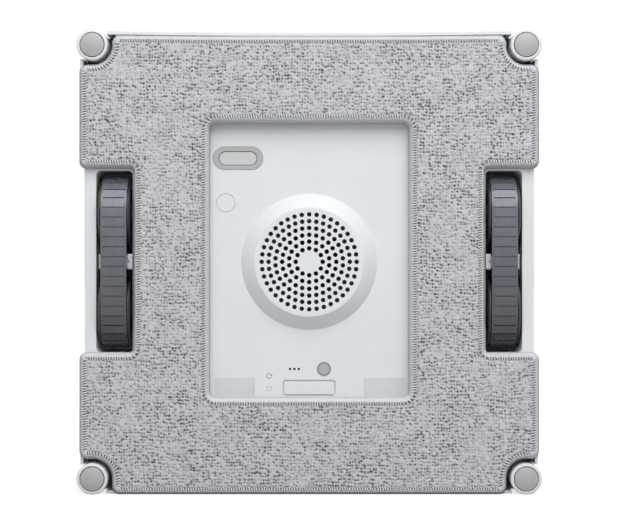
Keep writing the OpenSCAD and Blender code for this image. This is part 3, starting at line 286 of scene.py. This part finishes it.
LOOKS = {  # the material of each node, and how far its sharp edges are rounded
    "base_housing": (WHITE, 0.35), "top_cover": (WHITE, 0.3), "housing_seal": (SEAL, 0),
    "cover_screws": (STEEL, 0.2), "hook_strips": (SEAL, 0), "fan_gasket": (SEAL, 0.1),
    "fan_housing": (DARK, 0.2), "fan_motor": (STEEL, 0.2), "fan_impeller": (BLACK, 0.1),
    "fan_shaft": (STEEL, 0.1), "idler_axles": (STEEL, 0.2), "shaft_bushes": (BRONZE, 0.15),
    "roller_posts": (DARK, 0), "roller_cups": (CUP, 0.1), "sensor_springs": (STEEL, 0),
    "switch_bezel": (PANEL_GREY, 0.2), "power_switch": (SWITCH_GREY, 0.5), "round_cap": (WHITE, 0.15),
    "service_cover": (WHITE, 0.2), "status_lens": (LENS, 0.2), "reset_button": (WHITE, 0.1),
    "main_board": (BOARD, 0), "battery_pack": (CELL, 0.2), "exhaust_grille": (LIGHT_GREY, 0.15),
    "start_button": (SWITCH_GREY, 0.4), "indicator_ring": (GLOW_RING, 0.15), "cord_gland": (DARK, 0.3),
    "rope_anchor": (STEEL, 0),
}
for side in ("left", "right"):
    for part, look in (
        ("track_belt", (BELT, 0)), ("track_frame", (LIGHT_GREY, 0.2)), ("drive_wheel", (DARK, 0.15)),
        ("idler_wheel", (DARK, 0.15)), ("drive_shaft", (STEEL, 0.2)), ("drive_gear", (GEAR, 0)),
        ("reduction_gear", (GEAR, 0)), ("motor_pinion", (BRONZE, 0)), ("gear_case", (DARK, 0.2)),
        ("drive_motor", (STEEL, 0.2)),
    ):
        LOOKS[f"{side}_{part}"] = look
    for end in ("top", "bottom"):
        LOOKS[f"{end}_{side}_roller"] = (WHITE, 0)
        LOOKS[f"{end}_{side}_sensor"] = (SENSOR_GREY, 0.15)

CRISP = "base_housing"  # has shallow edges that have to stay visible
SHARP = math.radians(25)  # edges over this angle stay sharp in the shading
ROUNDED = math.radians(38)  # edges over this angle are bevelled
WELD = 0.002  # vertices nearer than this become one


def smoothing():
    """Node group that shades faces smooth and keeps sharp edges."""
    group = bpy.data.node_groups.new("smooth_by_angle", "GeometryNodeTree")
    group.interface.new_socket("Geometry", in_out="INPUT", socket_type="NodeSocketGeometry")
    group.interface.new_socket("Geometry", in_out="OUTPUT", socket_type="NodeSocketGeometry")
    made = group.nodes.new
    given, taken = made("NodeGroupInput"), made("NodeGroupOutput")
    faces, edges = made("GeometryNodeSetShadeSmooth"), made("GeometryNodeSetShadeSmooth")
    faces.domain, edges.domain = "FACE", "EDGE"
    faces.inputs["Shade Smooth"].default_value = True
    edges.inputs["Shade Smooth"].default_value = False
    angle, sharp = made("GeometryNodeInputMeshEdgeAngle"), made("FunctionNodeCompare")
    sharp.data_type, sharp.operation = "FLOAT", "GREATER_THAN"
    sharp.inputs[1].default_value = SHARP
    group.links.new(given.outputs[0], faces.inputs["Geometry"])
    group.links.new(faces.outputs[0], edges.inputs["Geometry"])
    group.links.new(angle.outputs["Unsigned Angle"], sharp.inputs[0])
    group.links.new(sharp.outputs[0], edges.inputs["Selection"])
    group.links.new(edges.outputs[0], taken.inputs[0])
    return group


SMOOTH = smoothing()


def dress(name, material, edge):
    """Gives a CAD node its material, and rounds its sharp edges by so many millimetres."""
    node = nodes[name]
    node.data.materials.clear()
    node.data.materials.append(material)
    weld = node.modifiers.new("weld", "WELD")
    weld.merge_threshold = WELD * MM
    if name != CRISP:
        node.modifiers.new("smooth", "NODES").node_group = SMOOTH
    if edge:
        bevel = node.modifiers.new("edges", "BEVEL")
        bevel.width = edge * MM
        bevel.segments = 2
        bevel.limit_method = "ANGLE"
        bevel.angle_limit = ROUNDED
        bevel.harden_normals = True
    if name != CRISP:
        even = node.modifiers.new("even", "WEIGHTED_NORMAL")
        even.keep_sharp = True


def placed(name, data):
    """A new object of the scene for a mesh or a lamp."""
    made = bpy.data.objects.new(name, data)
    scene.collection.objects.link(made)
    return made


def finished(name, work):
    """Closes a bmesh's work into an object with its normals outwards."""
    bmesh.ops.recalc_face_normals(work, faces=work.faces)
    mesh = bpy.data.meshes.new(name)
    work.to_mesh(mesh)
    work.free()
    return placed(name, mesh)


def prism(work, outline, near, far):
    """Adds a closed straight solid between two depths, from an outline of x and z."""
    front, back = ([work.verts.new((x * MM, y * MM, z * MM)) for x, z in outline] for y in (near, far))
    work.faces.new(front)
    work.faces.new(back[::-1])
    for k in range(len(outline)):
        work.faces.new((front[k - 1], back[k - 1], back[k], front[k]))


def circle_at(x, z, radius, sides):
    """The corners of a round outline."""
    angles = [TURN * k / sides for k in range(sides)]
    return [(x + radius * math.cos(a), z + radius * math.sin(a)) for a in angles]


for name, (material, edge) in LOOKS.items():
    dress(name, material, edge)

# The fan grille

RING_COUNTS = (12, 18, 24, 30, 36, 40)
RING_FIRST, RING_STEP, HOLE_R = 6.7, 3.38, 1.16
FRONT_Y, PLATE, FLAT_R, FOOT_R, FOOT_Y = 3.0, 1.6, 27.3, 34.0, 8.5
SPIGOT_R, SPIGOT_T, SPIGOT_Y = 30.0, 1.4, 12.0
LIP, LIP_DROP = 0.2, 0.06  # the softened edge round the flat front
HOLE_SIDES, TURNED_SIDES = 20, 128
INSIDE, SNAP = 1, 1e-7  # how the triangulation leaves out what is outside its faces, and its tolerance
MERGE = 0.001


def grille_mesh():
    """A plate with rings of holes on a straight-sided foot, as one closed mesh."""
    inner, back_y = FLAT_R - PLATE, FRONT_Y + PLATE
    outlines = [circle_at(0, 0, inner, TURNED_SIDES)]
    for k, count in enumerate(RING_COUNTS):
        far = RING_FIRST + k * RING_STEP
        for i in range(count):
            a = math.radians(90 - 360 * i / count)
            outlines.append(circle_at(far * math.cos(a), far * math.sin(a), HOLE_R, HOLE_SIDES))
    flat, faces = [], []
    for outline in outlines:
        faces.append(list(range(len(flat), len(flat) + len(outline))))
        flat += [Vector(v) for v in outline]
    points, _, triangles, _, _, origin = delaunay_2d_cdt(flat, [], faces, INSIDE, SNAP)
    work = bmesh.new()

    def face(corners):
        work.faces.new([work.verts.new((x * MM, y * MM, z * MM)) for x, y, z in corners])

    for triangle, where in zip(triangles, origin):
        if list(where) == [0]:
            for y in (FRONT_Y, back_y):
                face([(points[v].x, y, points[v].y) for v in triangle])
    for hole in outlines[1:]:
        for (a, b), (c, d) in zip(hole[-1:] + hole, hole):
            face(((a, FRONT_Y, b), (c, FRONT_Y, d), (c, back_y, d), (a, back_y, b)))
    profile = [
        (inner, FRONT_Y), (FLAT_R - LIP, FRONT_Y), (FLAT_R, FRONT_Y + LIP_DROP),
        (FLAT_R + LIP, FRONT_Y + LIP), (FOOT_R - LIP, FOOT_Y - LIP), (FOOT_R, FOOT_Y),
        (SPIGOT_R, FOOT_Y), (SPIGOT_R, SPIGOT_Y), (SPIGOT_R - SPIGOT_T, SPIGOT_Y),
        (SPIGOT_R - SPIGOT_T, FOOT_Y), (inner, back_y),
    ]
    rings = [[(x, y, z) for x, z in circle_at(0, 0, r, TURNED_SIDES)] for r, y in profile]
    for low, high in zip(rings, rings[1:]):
        for k in range(TURNED_SIDES):
            face((low[k - 1], low[k], high[k], high[k - 1]))
    bmesh.ops.remove_doubles(work, verts=work.verts, dist=MERGE * MM)
    made = finished("fan_grille_drilled", work)
    made.modifiers.new("smooth", "NODES").node_group = SMOOTH
    return made


grille = grille_mesh()
grille.data.materials.append(GRILLE_WHITE)
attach(grille, "chassis")
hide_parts("fan_grille")

# The cleaning cloth

CLOTH_BACK = 4.3  # depth of the cloth's back
WINDOW = [  # corners as x, z and radius
    (-50.4, -68.4, 4), (50.4, -68.4, 4), (50.4, 69.7, 4), (-50.4, 69.7, 4),
]
RIGHT_EDGE = [
    (97.1, 111.6, 3), (97.1, 97.1, 10.6), (113.3, 97.1, 3), (113.3, 47.4, 2.5), (86.7, 47.4, 2.5),
    (86.7, -46.0, 2.5), (113.3, -46.0, 2.5), (113.3, -97.1, 3), (97.1, -97.1, 10.6), (97.1, -114.7, 3),
]
TOP_SAG = [(-50, 111.2, 60), (50, 111.2, 60)]  # the top edge follows the housing's bow
OUTER = RIGHT_EDGE + [(-x, z, r) for x, z, r in reversed(RIGHT_EDGE)] + TOP_SAG
GRID = 0.42  # spacing of the cloth's vertices
GRID_X, GRID_Z = (-113.6, 113.7), (-115.0, 111.4)
LOOP_X, LOOP_Z = 1.4, 1.62  # pitch of the pile's loops
LOOP_SEED, SWELL_SEED = 5, 11
LOOPS_KEPT, NOISE_KEPT = 256, 64  # sides of the grids of random numbers, which repeat
PILE_Y, PILE_DEEP, SWELL = 0.06, 0.95, 0.12  # depth of the loops' tops and of the pits under them
ARC_STEP, REACH, HEADING_STEP = 0.4, 6.0, 0.2
HEM_START, HEM_FADE = 2.4, 1.0  # from the edge to the pile, and how far the hem fades into it
SEAM_START, SEAM_STOP, SEAM_SOFT = 1.0, 3.2, 0.4  # the band of painted shade under the threads


def filleted(corners):
    """The closed path through corners (x, z, radius) with each corner rounded."""
    out = []
    for i, (x, z, r) in enumerate(corners):
        corner = np.array((x, z), float)
        a, b = (np.array(corners[k][:2], float) - corner for k in (i - 1, (i + 1) % len(corners)))
        a, b = a / np.linalg.norm(a), b / np.linalg.norm(b)
        half = math.acos(np.clip(a @ b, -1, 1)) / 2
        start = corner + a * r / math.tan(half)
        end = corner + b * r / math.tan(half)
        centre = corner + (a + b) / np.linalg.norm(a + b) * r / math.sin(half)
        first = math.atan2(*(start - centre)[::-1])
        turn = (math.atan2(*(end - centre)[::-1]) - first + math.pi) % TURN - math.pi
        count = max(3, math.ceil(abs(turn) * r / ARC_STEP))
        out += [centre + r * np.array((math.cos(t), math.sin(t)))
                for t in (first + turn * k / count for k in range(count + 1))]
    return np.array(out)


def evenly(path, pitch):
    """Points a pitch apart along a closed path, with their directions."""
    closed = np.vstack([path, path[:1]])
    steps = np.linalg.norm(np.diff(closed, axis=0), axis=1)
    along = np.concatenate([[0], np.cumsum(steps)])
    count = round(along[-1] / pitch)
    at = (np.arange(count) + 0.5) * along[-1] / count

    def points(at):
        return np.stack([np.interp(at, along, closed[:, k]) for k in (0, 1)], axis=1)

    direction = points(at + HEADING_STEP) - points(at - HEADING_STEP)
    return points(at), direction / np.linalg.norm(direction, axis=1, keepdims=True)


def soft_noise(x, z, size, seed):
    """Smooth noise from 0 to 1 with features of a size."""
    grid = np.random.default_rng(seed).random((NOISE_KEPT, NOISE_KEPT))
    u, v = x / size + 31.7, z / size + 17.3
    i, j = np.floor(u).astype(int), np.floor(v).astype(int)
    fu, fv = (t * t * (3 - 2 * t) for t in (u - i, v - j))

    def at(column):
        low, high = (grid[column % NOISE_KEPT, (j + b) % NOISE_KEPT] for b in (0, 1))
        return low * (1 - fv) + high * fv

    return at(i) * (1 - fu) + at(i + 1) * fu


def loops(x, z):
    """Height of the pile from 0 to 1: close rounded loops in uneven rows, with small pits between them."""
    def drift(size, amount, step):
        return amount * (soft_noise(x, z, size, LOOP_SEED + step) - 0.5)

    u = (x + drift(9, 1.1, 1) + drift(2.5, 0.5, 4)) / LOOP_X
    v = (z + drift(12, 1.6, 2) + drift(2.5, 0.5, 5)) / LOOP_Z
    i, j = np.floor(u).astype(int), np.floor(v).astype(int)
    rng = np.random.default_rng(LOOP_SEED)
    each = (LOOPS_KEPT, LOOPS_KEPT)
    shift = rng.uniform(-0.22, 0.22, (*each, 2))
    limits = ((0.15, 1.0), (0.32, 0.52), (0.8, 1.0))
    deep, broad, tall = (rng.uniform(low, high, each) for low, high in limits)
    pit = np.zeros(x.shape)
    for a in (-1, 0, 1):
        for b in (-1, 0, 1):
            ci, cj = (i + a) % LOOPS_KEPT, (j + b) % LOOPS_KEPT
            du = (u - (i + a + 0.5 + shift[ci, cj, 0])) / broad[ci, cj]
            dv = (v - (j + b + 0.5 + shift[ci, cj, 1])) / 0.3
            pit = np.maximum(pit, deep[ci, cj] * np.clip(1.3 - np.hypot(du, dv), 0, 1))
    crest = tall[i % LOOPS_KEPT, j % LOOPS_KEPT] - 0.1 * np.abs(2 * ((v % 1) - 0.5)) ** 3
    open_here = 0.55 + 0.8 * soft_noise(x, z, 6, LOOP_SEED + 3)
    return np.clip(crest - 0.95 * pit * open_here, 0, 1)


def filled(xs, zs, paths):
    """For a grid of xs by zs: what lies inside the outer path and outside the others."""
    inside = np.zeros((len(xs), len(zs)), bool)
    for path in paths:
        ends = np.roll(path, -1, axis=0)
        for k, x in enumerate(xs):
            cross = (path[:, 0] > x) != (ends[:, 0] > x)
            a, b = path[cross], ends[cross]
            hits = np.sort(a[:, 1] + (x - a[:, 0]) / (b[:, 0] - a[:, 0]) * (b[:, 1] - a[:, 1]))
            inside[k] ^= np.searchsorted(hits, zs) % 2 == 1
    return inside


def near_edge(xs, zs, paths):
    """Distance to the nearest edge up to REACH, the nearest point on it and that edge's direction."""
    gx, gz = np.meshgrid(xs, zs, indexing="ij")
    far = np.full(gx.shape, REACH)
    point = np.stack([gx, gz], axis=-1)
    heading = np.zeros(point.shape)
    for path in paths:
        for a, b in zip(path, np.roll(path, -1, axis=0)):
            ab = b - a
            if ab @ ab < 1e-12:
                continue
            low, high = np.minimum(a, b) - REACH, np.maximum(a, b) + REACH
            si = slice(*np.searchsorted(xs, (low[0], high[0])))
            sj = slice(*np.searchsorted(zs, (low[1], high[1])))
            t = np.clip(((gx[si, sj] - a[0]) * ab[0] + (gz[si, sj] - a[1]) * ab[1]) / (ab @ ab), 0, 1)
            qx, qz = a[0] + t * ab[0], a[1] + t * ab[1]
            away = np.hypot(gx[si, sj] - qx, gz[si, sj] - qz)
            closer = away < far[si, sj]
            far[si, sj][closer] = away[closer]
            point[si, sj][closer] = np.stack([qx, qz], axis=-1)[closer]
            heading[si, sj][closer] = ab / np.linalg.norm(ab)
    return far, point, heading


HEM_IN = [0.0, 0.2, 0.5, 0.9, 1.3, 1.8, 2.4, 3.0, 3.8]  # distances from the cloth's edge
HEM_Y = [2.4, 1.5, 0.95, 0.62, 0.6, 0.95, 1.1, 0.8, 0.2]  # and the hem's depth there
TURNED_UNDER = ((3.7, 0.15), (CLOTH_BACK, 0.9))  # depths behind the edge, and steps inwards
SIDE_PILE, SIDE_HEM = 0.6, 1.0  # what the cloth's attributes say there


def cloth_mesh():
    """The cloth's front, with the outward direction of each vertex and whether it is on the rim."""
    edges = [filleted(OUTER), filleted(WINDOW)]
    xs = np.arange(*GRID_X, GRID)
    zs = np.arange(*GRID_Z, GRID)
    keep = filled((xs[:-1] + xs[1:]) / 2, (zs[:-1] + zs[1:]) / 2, edges)
    used = np.zeros((len(xs), len(zs)), int)
    for a in (0, 1):
        for b in (0, 1):
            used[a:len(xs) - 1 + a, b:len(zs) - 1 + b] += keep
    rim = (used > 0) & (used < 4)
    far, point, heading = near_edge(xs, zs, edges)
    gx, gz = np.meshgrid(xs, zs, indexing="ij")
    gx, gz = np.where(rim, point[..., 0], gx), np.where(rim, point[..., 1], gz)
    far = np.where(rim, 0, far)
    height = loops(gx, gz)
    swell = soft_noise(gx, gz, 24, SWELL_SEED) * SWELL
    pile_y = PILE_Y + swell + (1 - height) * PILE_DEEP
    share = np.clip((far - HEM_START) / HEM_FADE, 0, 1)
    # Where the painted shade under the threads lies, from 0 to 1.
    thread_shade = np.clip(np.minimum(far - SEAM_START, SEAM_STOP - far) / SEAM_SOFT, 0, 1)
    y = np.interp(far, HEM_IN, HEM_Y) * (1 - share) + pile_y * share
    number = np.full(used.shape, -1)
    number[used > 0] = np.arange((used > 0).sum())
    ci, cj = np.nonzero(keep)
    quads = np.stack([number[ci, cj], number[ci, cj + 1], number[ci + 1, cj + 1], number[ci + 1, cj]], axis=1)
    shown = used > 0
    points = np.stack([gx[shown], y[shown], gz[shown]], axis=1) * MM
    mesh = bpy.data.meshes.new("cleaning_cloth_pile")
    mesh.from_pydata(points.tolist(), [], quads[:, ::-1].tolist())
    for label, values in (("pile", height), ("hem", 1 - share), ("thread_shade", thread_shade)):
        layer = mesh.attributes.new(label, "FLOAT", "POINT")
        layer.data.foreach_set("value", values[shown].astype(np.float32))
    outward = np.stack([heading[..., 1], -heading[..., 0]], axis=-1)[shown]
    return mesh, outward, rim[shown]


def close_back(mesh, outward, rim):
    """Turns the cloth's edge under, and closes it with a flat back."""
    work = bmesh.new()
    work.from_mesh(mesh)
    work.verts.ensure_lookup_table()
    push = {v: Vector((outward[v.index][0], 0, outward[v.index][1])) for v in work.verts if rim[v.index]}
    ring = [e for e in work.edges if e.is_boundary]
    pile, hem = work.verts.layers.float["pile"], work.verts.layers.float["hem"]
    for depth, inset in TURNED_UNDER:
        made = bmesh.ops.extrude_edge_only(work, edges=ring)["geom"]
        fresh = [v for v in made if isinstance(v, bmesh.types.BMVert)]
        old = {v: next(e.other_vert(v) for e in v.link_edges if e.other_vert(v) in push) for v in fresh}
        for v in fresh:
            push[v] = push[old[v]]
            v.co.y = depth * MM
            v.co -= push[v] * inset * MM
            v[pile], v[hem] = SIDE_PILE, SIDE_HEM
        ring = [e for e in made if isinstance(e, bmesh.types.BMEdge)]
        push = {v: push[v] for v in fresh}
    bmesh.ops.triangle_fill(work, edges=ring, use_beauty=True)
    bmesh.ops.recalc_face_normals(work, faces=work.faces)
    work.to_mesh(mesh)
    work.free()


def cloth_look():
    """Microfibre: pale loops with painted shade darkening the pits between them, and a hem with a band of
    painted shade under its threads.
    """
    look = Look(
        "cloth_microfibre", Sheen_Weight=0.35, Sheen_Roughness=0.6, Roughness=0.9, Specular_IOR_Level=0.15
    )
    pile, hem, thread_shade = (look.attribute(label) for label in ("pile", "hem", "thread_shade"))
    # Painted shade: the lower the pile, the darker its colour, as shade falls in the pits between the loops.
    deep = look.mixed(look.ranged(pile, 0, 1, 0.1, 0.75), linear(58, 58, 64), linear(193, 194, 198))
    lit = look.mixed(look.ranged(pile, 0, 1, 0.7, 0.98), deep, linear(214, 215, 219))
    fibre = look.ranged(look.noise(0.22, 3), 0.86, 1.12)
    blotch = look.ranged(look.noise(11, 4), 0.95, 1.05)
    pile_colour = look.tinted(lit, look.math("MULTIPLY", fibre, blotch))
    # Painted shade: the hem darkens in the band under the threads, where shade falls between them.
    fold = look.mixed(look.ranged(thread_shade, 0, 0.75, 0.2, 0.8), linear(212, 213, 217), linear(104, 104, 110))
    hem_colour = look.tinted(fold, fibre)
    look.set("Base Color", look.mixed(look.ranged(hem, 0, 1, 0.2, 0.8), pile_colour, hem_colour))
    look.bump(look.noise(0.3, 4, (1, 1, 1.6)), 0.22)
    return look.material


def thread_look():
    """Twisted thread, a little paler than the pile."""
    look = Look("cloth_thread", Sheen_Weight=0.3, Roughness=0.85, Specular_IOR_Level=0.2)
    twist = look.noise(0.25, 2, (1, 0.5, 1))
    look.set("Base Color", look.mixed(look.ranged(twist, 0, 1), linear(196, 197, 202), linear(224, 225, 229)))
    look.bump(twist, 0.1)
    return look.material


def tubes(name, lines, radius, sides):
    """One mesh of closed round tubes along lines of points in millimetres."""
    verts, faces = [], []
    for line in lines:
        line = np.array(line, float)
        ahead = np.gradient(line, axis=0)
        ahead /= np.linalg.norm(ahead, axis=1, keepdims=True)
        side = np.cross(ahead, (0.13, 0.98, 0.15))
        side /= np.linalg.norm(side, axis=1, keepdims=True)
        up = np.cross(side, ahead)
        start = len(verts)
        for k, point in enumerate(line):
            slim = radius * (0.55 if k in (0, len(line) - 1) else 1.0)
            for s in range(sides):
                a = TURN * s / sides
                verts.append((point + slim * (math.cos(a) * side[k] + math.sin(a) * up[k])) * MM)
        for k in range(len(line) - 1):
            for s in range(sides):
                p, q = start + k * sides + s, start + k * sides + (s + 1) % sides
                faces.append((p, q, q + sides, p + sides))
        last = start + (len(line) - 1) * sides
        faces.append(tuple(start + s for s in reversed(range(sides))))
        faces.append(tuple(last + s for s in range(sides)))
    mesh = bpy.data.meshes.new(name)
    mesh.from_pydata([tuple(v) for v in verts], [], faces)
    mesh.shade_smooth()
    return placed(name, mesh)


THREAD_R, THREAD_SIDES, THREAD_PITCH = 0.36, 6, 1.25
THREAD_RUN = [  # distances inwards from the edge, and depths there
    (0.35, 1.3), (0.7, 0.85), (1.2, 0.55), (2.0, 0.5), (2.8, 0.6), (3.2, 0.95),
]
THREAD_MIDDLE, THREAD_HALF = 1.9, 1.4  # distance inwards where a thread's slant is nought, and then full
WINDOW_SEED, OUTER_SEED = 21, 22


def overlock(path, seed):
    """Slanted threads over a cloth edge, from its fold to the inner side of its hem."""
    rng = np.random.default_rng(seed)
    lines = []
    for p, t in zip(*evenly(path, THREAD_PITCH)):
        n = np.array((t[1], -t[0]))
        wide, slant, lift = rng.uniform(0.88, 1.12), rng.uniform(0.2, 0.6), rng.uniform(-0.05, 0.05)
        line = []
        for d, y in THREAD_RUN:
            q = p + n * d * wide + t * slant * (d - THREAD_MIDDLE) / THREAD_HALF
            line.append((q[0], y + lift, q[1]))
        lines.append(line)
    return lines


cloth_data, cloth_out, cloth_rim = cloth_mesh()
close_back(cloth_data, cloth_out, cloth_rim)
cloth_data.shade_smooth()
cloth_data.materials.append(cloth_look())
cloth = placed("cleaning_cloth_pile", cloth_data)
threads = overlock(filleted(WINDOW), WINDOW_SEED) + overlock(filleted(OUTER), OUTER_SEED)
stitches = tubes("cleaning_cloth_stitches", threads, THREAD_R, THREAD_SIDES)
stitches.data.materials.append(thread_look())
for piece in (cloth, stitches):
    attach(piece, "chassis")
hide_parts("cleaning_cloth")

# Black discs over the three small holes, a little proud of the panel at 8.5, as painted shade standing in for
# the dark inside them

DOTS = [(-9.6, -53.6), (-7.4, -53.6), (-5.2, -53.6)]
DOT_R, DOT_SIDES = 0.62, 24
DOT_FRONT, DOT_BACK = 8.45, 9.4

discs = bmesh.new()
for x, z in DOTS:
    prism(discs, circle_at(x, z, DOT_R, DOT_SIDES), DOT_FRONT, DOT_BACK)
hole_shade = finished("vent_hole_shade", discs)
# Painted shade: a near black colour in place of the shade inside the holes.
HOLE_SHADE = plastic("black_hole_shade", (12, 12, 13), 0.9, grain=0.15, depth=0.03, tone=0.2, patch=2)
hole_shade.data.materials.append(HOLE_SHADE)
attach(hole_shade, "chassis")

# Printed reset sign

SIGN_X, SIGN_Z, SIGN_R, SIGN_W = -20.1, -57.1, 1.15, 0.42
SIGN_FRONT, SIGN_BACK = 8.46, 8.5  # the print's face, and the panel under it
SIGN_START, SIGN_STOP, SIGN_STEPS = math.radians(30), math.radians(330), 28
HEAD_HALF, HEAD_LONG = 1.6 * SIGN_W, 2.6 * SIGN_W


def reset_sign():
    """An open ring with an arrow head at its start, as a thin print on the panel."""
    def at(radius, a):
        return (SIGN_X + radius * math.cos(a), SIGN_Z + radius * math.sin(a))

    work = bmesh.new()
    angles = [SIGN_START + (SIGN_STOP - SIGN_START) * k / SIGN_STEPS for k in range(SIGN_STEPS + 1)]
    inner, outer = ([at(SIGN_R + side * SIGN_W / 2, a) for a in angles] for side in (-1, 1))
    prism(work, inner + outer[::-1], SIGN_FRONT, SIGN_BACK)
    tip = Vector((math.cos(SIGN_START), math.sin(SIGN_START)))
    point = Vector((SIGN_X, SIGN_Z)) + tip * SIGN_R + Vector((tip.y, -tip.x)) * HEAD_LONG
    head = [at(SIGN_R + side * HEAD_HALF, SIGN_START) for side in (-1, 1)] + [tuple(point)]
    prism(work, head, SIGN_FRONT, SIGN_BACK)
    return finished("reset_sign", work)


sign = reset_sign()
sign.data.materials.append(plastic("sign_ink", (150, 151, 154), 0.6, grain=0.2, depth=0.003, tone=0.05))
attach(sign, "chassis")

# Floor, light and background

# Lengths here are in metres.
FLOOR_Z = cad_low.z
FLOOR_CORNERS = ((-4, -3), (4, -3), (4, 6), (-4, 6))
FLOOR_GREY = linear(160, 160, 160)
GLOW_NEAR, GLOW_FAR = 0.72, 1.0  # what the floor adds to a camera's view, near the object and far from it
NEAR, FAR = 0.15, 0.9


def world_light(below, level, above):
    """Soft surrounding light that grows from below to above, and a white background for the camera."""
    world = bpy.data.worlds.new("studio")
    scene.world = world
    world.use_nodes = True
    tree = world.node_tree
    tree.nodes.clear()
    rays = tree.nodes.new("ShaderNodeLightPath")
    seen = rays.outputs["Is Camera Ray"]
    for kind in ("Is Transmission Ray", "Is Glossy Ray"):
        either = tree.nodes.new("ShaderNodeMath")
        either.operation = "MAXIMUM"
        tree.links.new(seen, either.inputs[0])
        tree.links.new(rays.outputs[kind], either.inputs[1])
        seen = either.outputs[0]
    heading = tree.nodes.new("ShaderNodeTexCoord")
    parts = tree.nodes.new("ShaderNodeSeparateXYZ")
    tree.links.new(heading.outputs["Generated"], parts.inputs[0])
    ramp = tree.nodes.new("ShaderNodeFloatCurve")
    halved = tree.nodes.new("ShaderNodeMapRange")
    halved.inputs["From Min"].default_value = -1.0
    tree.links.new(parts.outputs["Z"], halved.inputs["Value"])
    tree.links.new(halved.outputs[0], ramp.inputs["Value"])
    curve = ramp.mapping.curves[0]
    curve.points[0].location = (0, below)
    curve.points[1].location = (1, above)
    curve.points.new(0.5, level)
    ramp.mapping.update()
    lamp, shown = (tree.nodes.new("ShaderNodeBackground") for _ in range(2))
    lamp.inputs["Color"].default_value = (1, 1, 1, 1)
    tree.links.new(ramp.outputs[0], lamp.inputs["Strength"])
    shown.inputs["Color"].default_value = (1, 1, 1, 1)
    shown.inputs["Strength"].default_value = 1.0
    mix = tree.nodes.new("ShaderNodeMixShader")
    tree.links.new(seen, mix.inputs[0])
    tree.links.new(lamp.outputs[0], mix.inputs[1])
    tree.links.new(shown.outputs[0], mix.inputs[2])
    tree.links.new(mix.outputs[0], tree.nodes.new("ShaderNodeOutputWorld").inputs[0])


def area_light(name, place, target, size, watts):
    data = bpy.data.lights.new(name, "AREA")
    data.shape = "RECTANGLE"
    data.size, data.size_y = size
    data.energy = watts
    lamp = placed(name, data)
    lamp.location = place
    lamp.rotation_euler = (Vector(target) - Vector(place)).to_track_quat("-Z", "Y").to_euler()


def floor():
    """A pale floor that keeps the object's shadow and fades to white away from it."""
    mesh = bpy.data.meshes.new("floor")
    mesh.from_pydata([(x, y, FLOOR_Z) for x, y in FLOOR_CORNERS], [], [(0, 1, 2, 3)])
    made = placed("floor", mesh)
    look = Look("floor_white", Roughness=0.9, Specular_IOR_Level=0.1)
    tint = look.ranged(look.noise(300, 3), 0.99, 1.0)
    look.set("Base Color", look.tinted(FLOOR_GREY, tint))
    rays = look.node("ShaderNodeLightPath")
    glow = look.node("ShaderNodeEmission")
    parts = look.axes()
    away = look.math("MAXIMUM", look.absolute(parts["X"]), look.absolute(parts["Y"]))
    look.link(look.ranged(away, GLOW_NEAR, GLOW_FAR, NEAR, FAR), glow.inputs["Strength"])
    added = look.node("ShaderNodeAddShader")
    look.link(look.shader.outputs[0], added.inputs[0])
    look.link(glow.outputs[0], added.inputs[1])
    mix = look.node("ShaderNodeMixShader")
    seen = look.math("MAXIMUM", rays.outputs["Is Camera Ray"], rays.outputs["Is Glossy Ray"])
    look.link(look.math("MAXIMUM", seen, rays.outputs["Is Transmission Ray"]), mix.inputs[0])
    look.link(look.shader.outputs[0], mix.inputs[1])
    look.link(added.outputs[0], mix.inputs[2])
    target = next(n for n in look.tree.nodes if n.type == "OUTPUT_MATERIAL")
    look.link(mix.outputs[0], target.inputs[0])
    mesh.materials.append(look.material)


world_light(0.1, 0.42, 0.6)
floor()
area_light("key", (0.12, -0.68, 0.8), (0, 0, 0), (1.0, 0.75), 9.1)
area_light("front", (-0.15, -1.5, 0.45), (0, 0, 0), (1.4, 0.9), 1.4)
area_light("behind", (0.3, 1.0, 0.35), (0, 0.05, 0), (0.8, 0.6), 3.2)
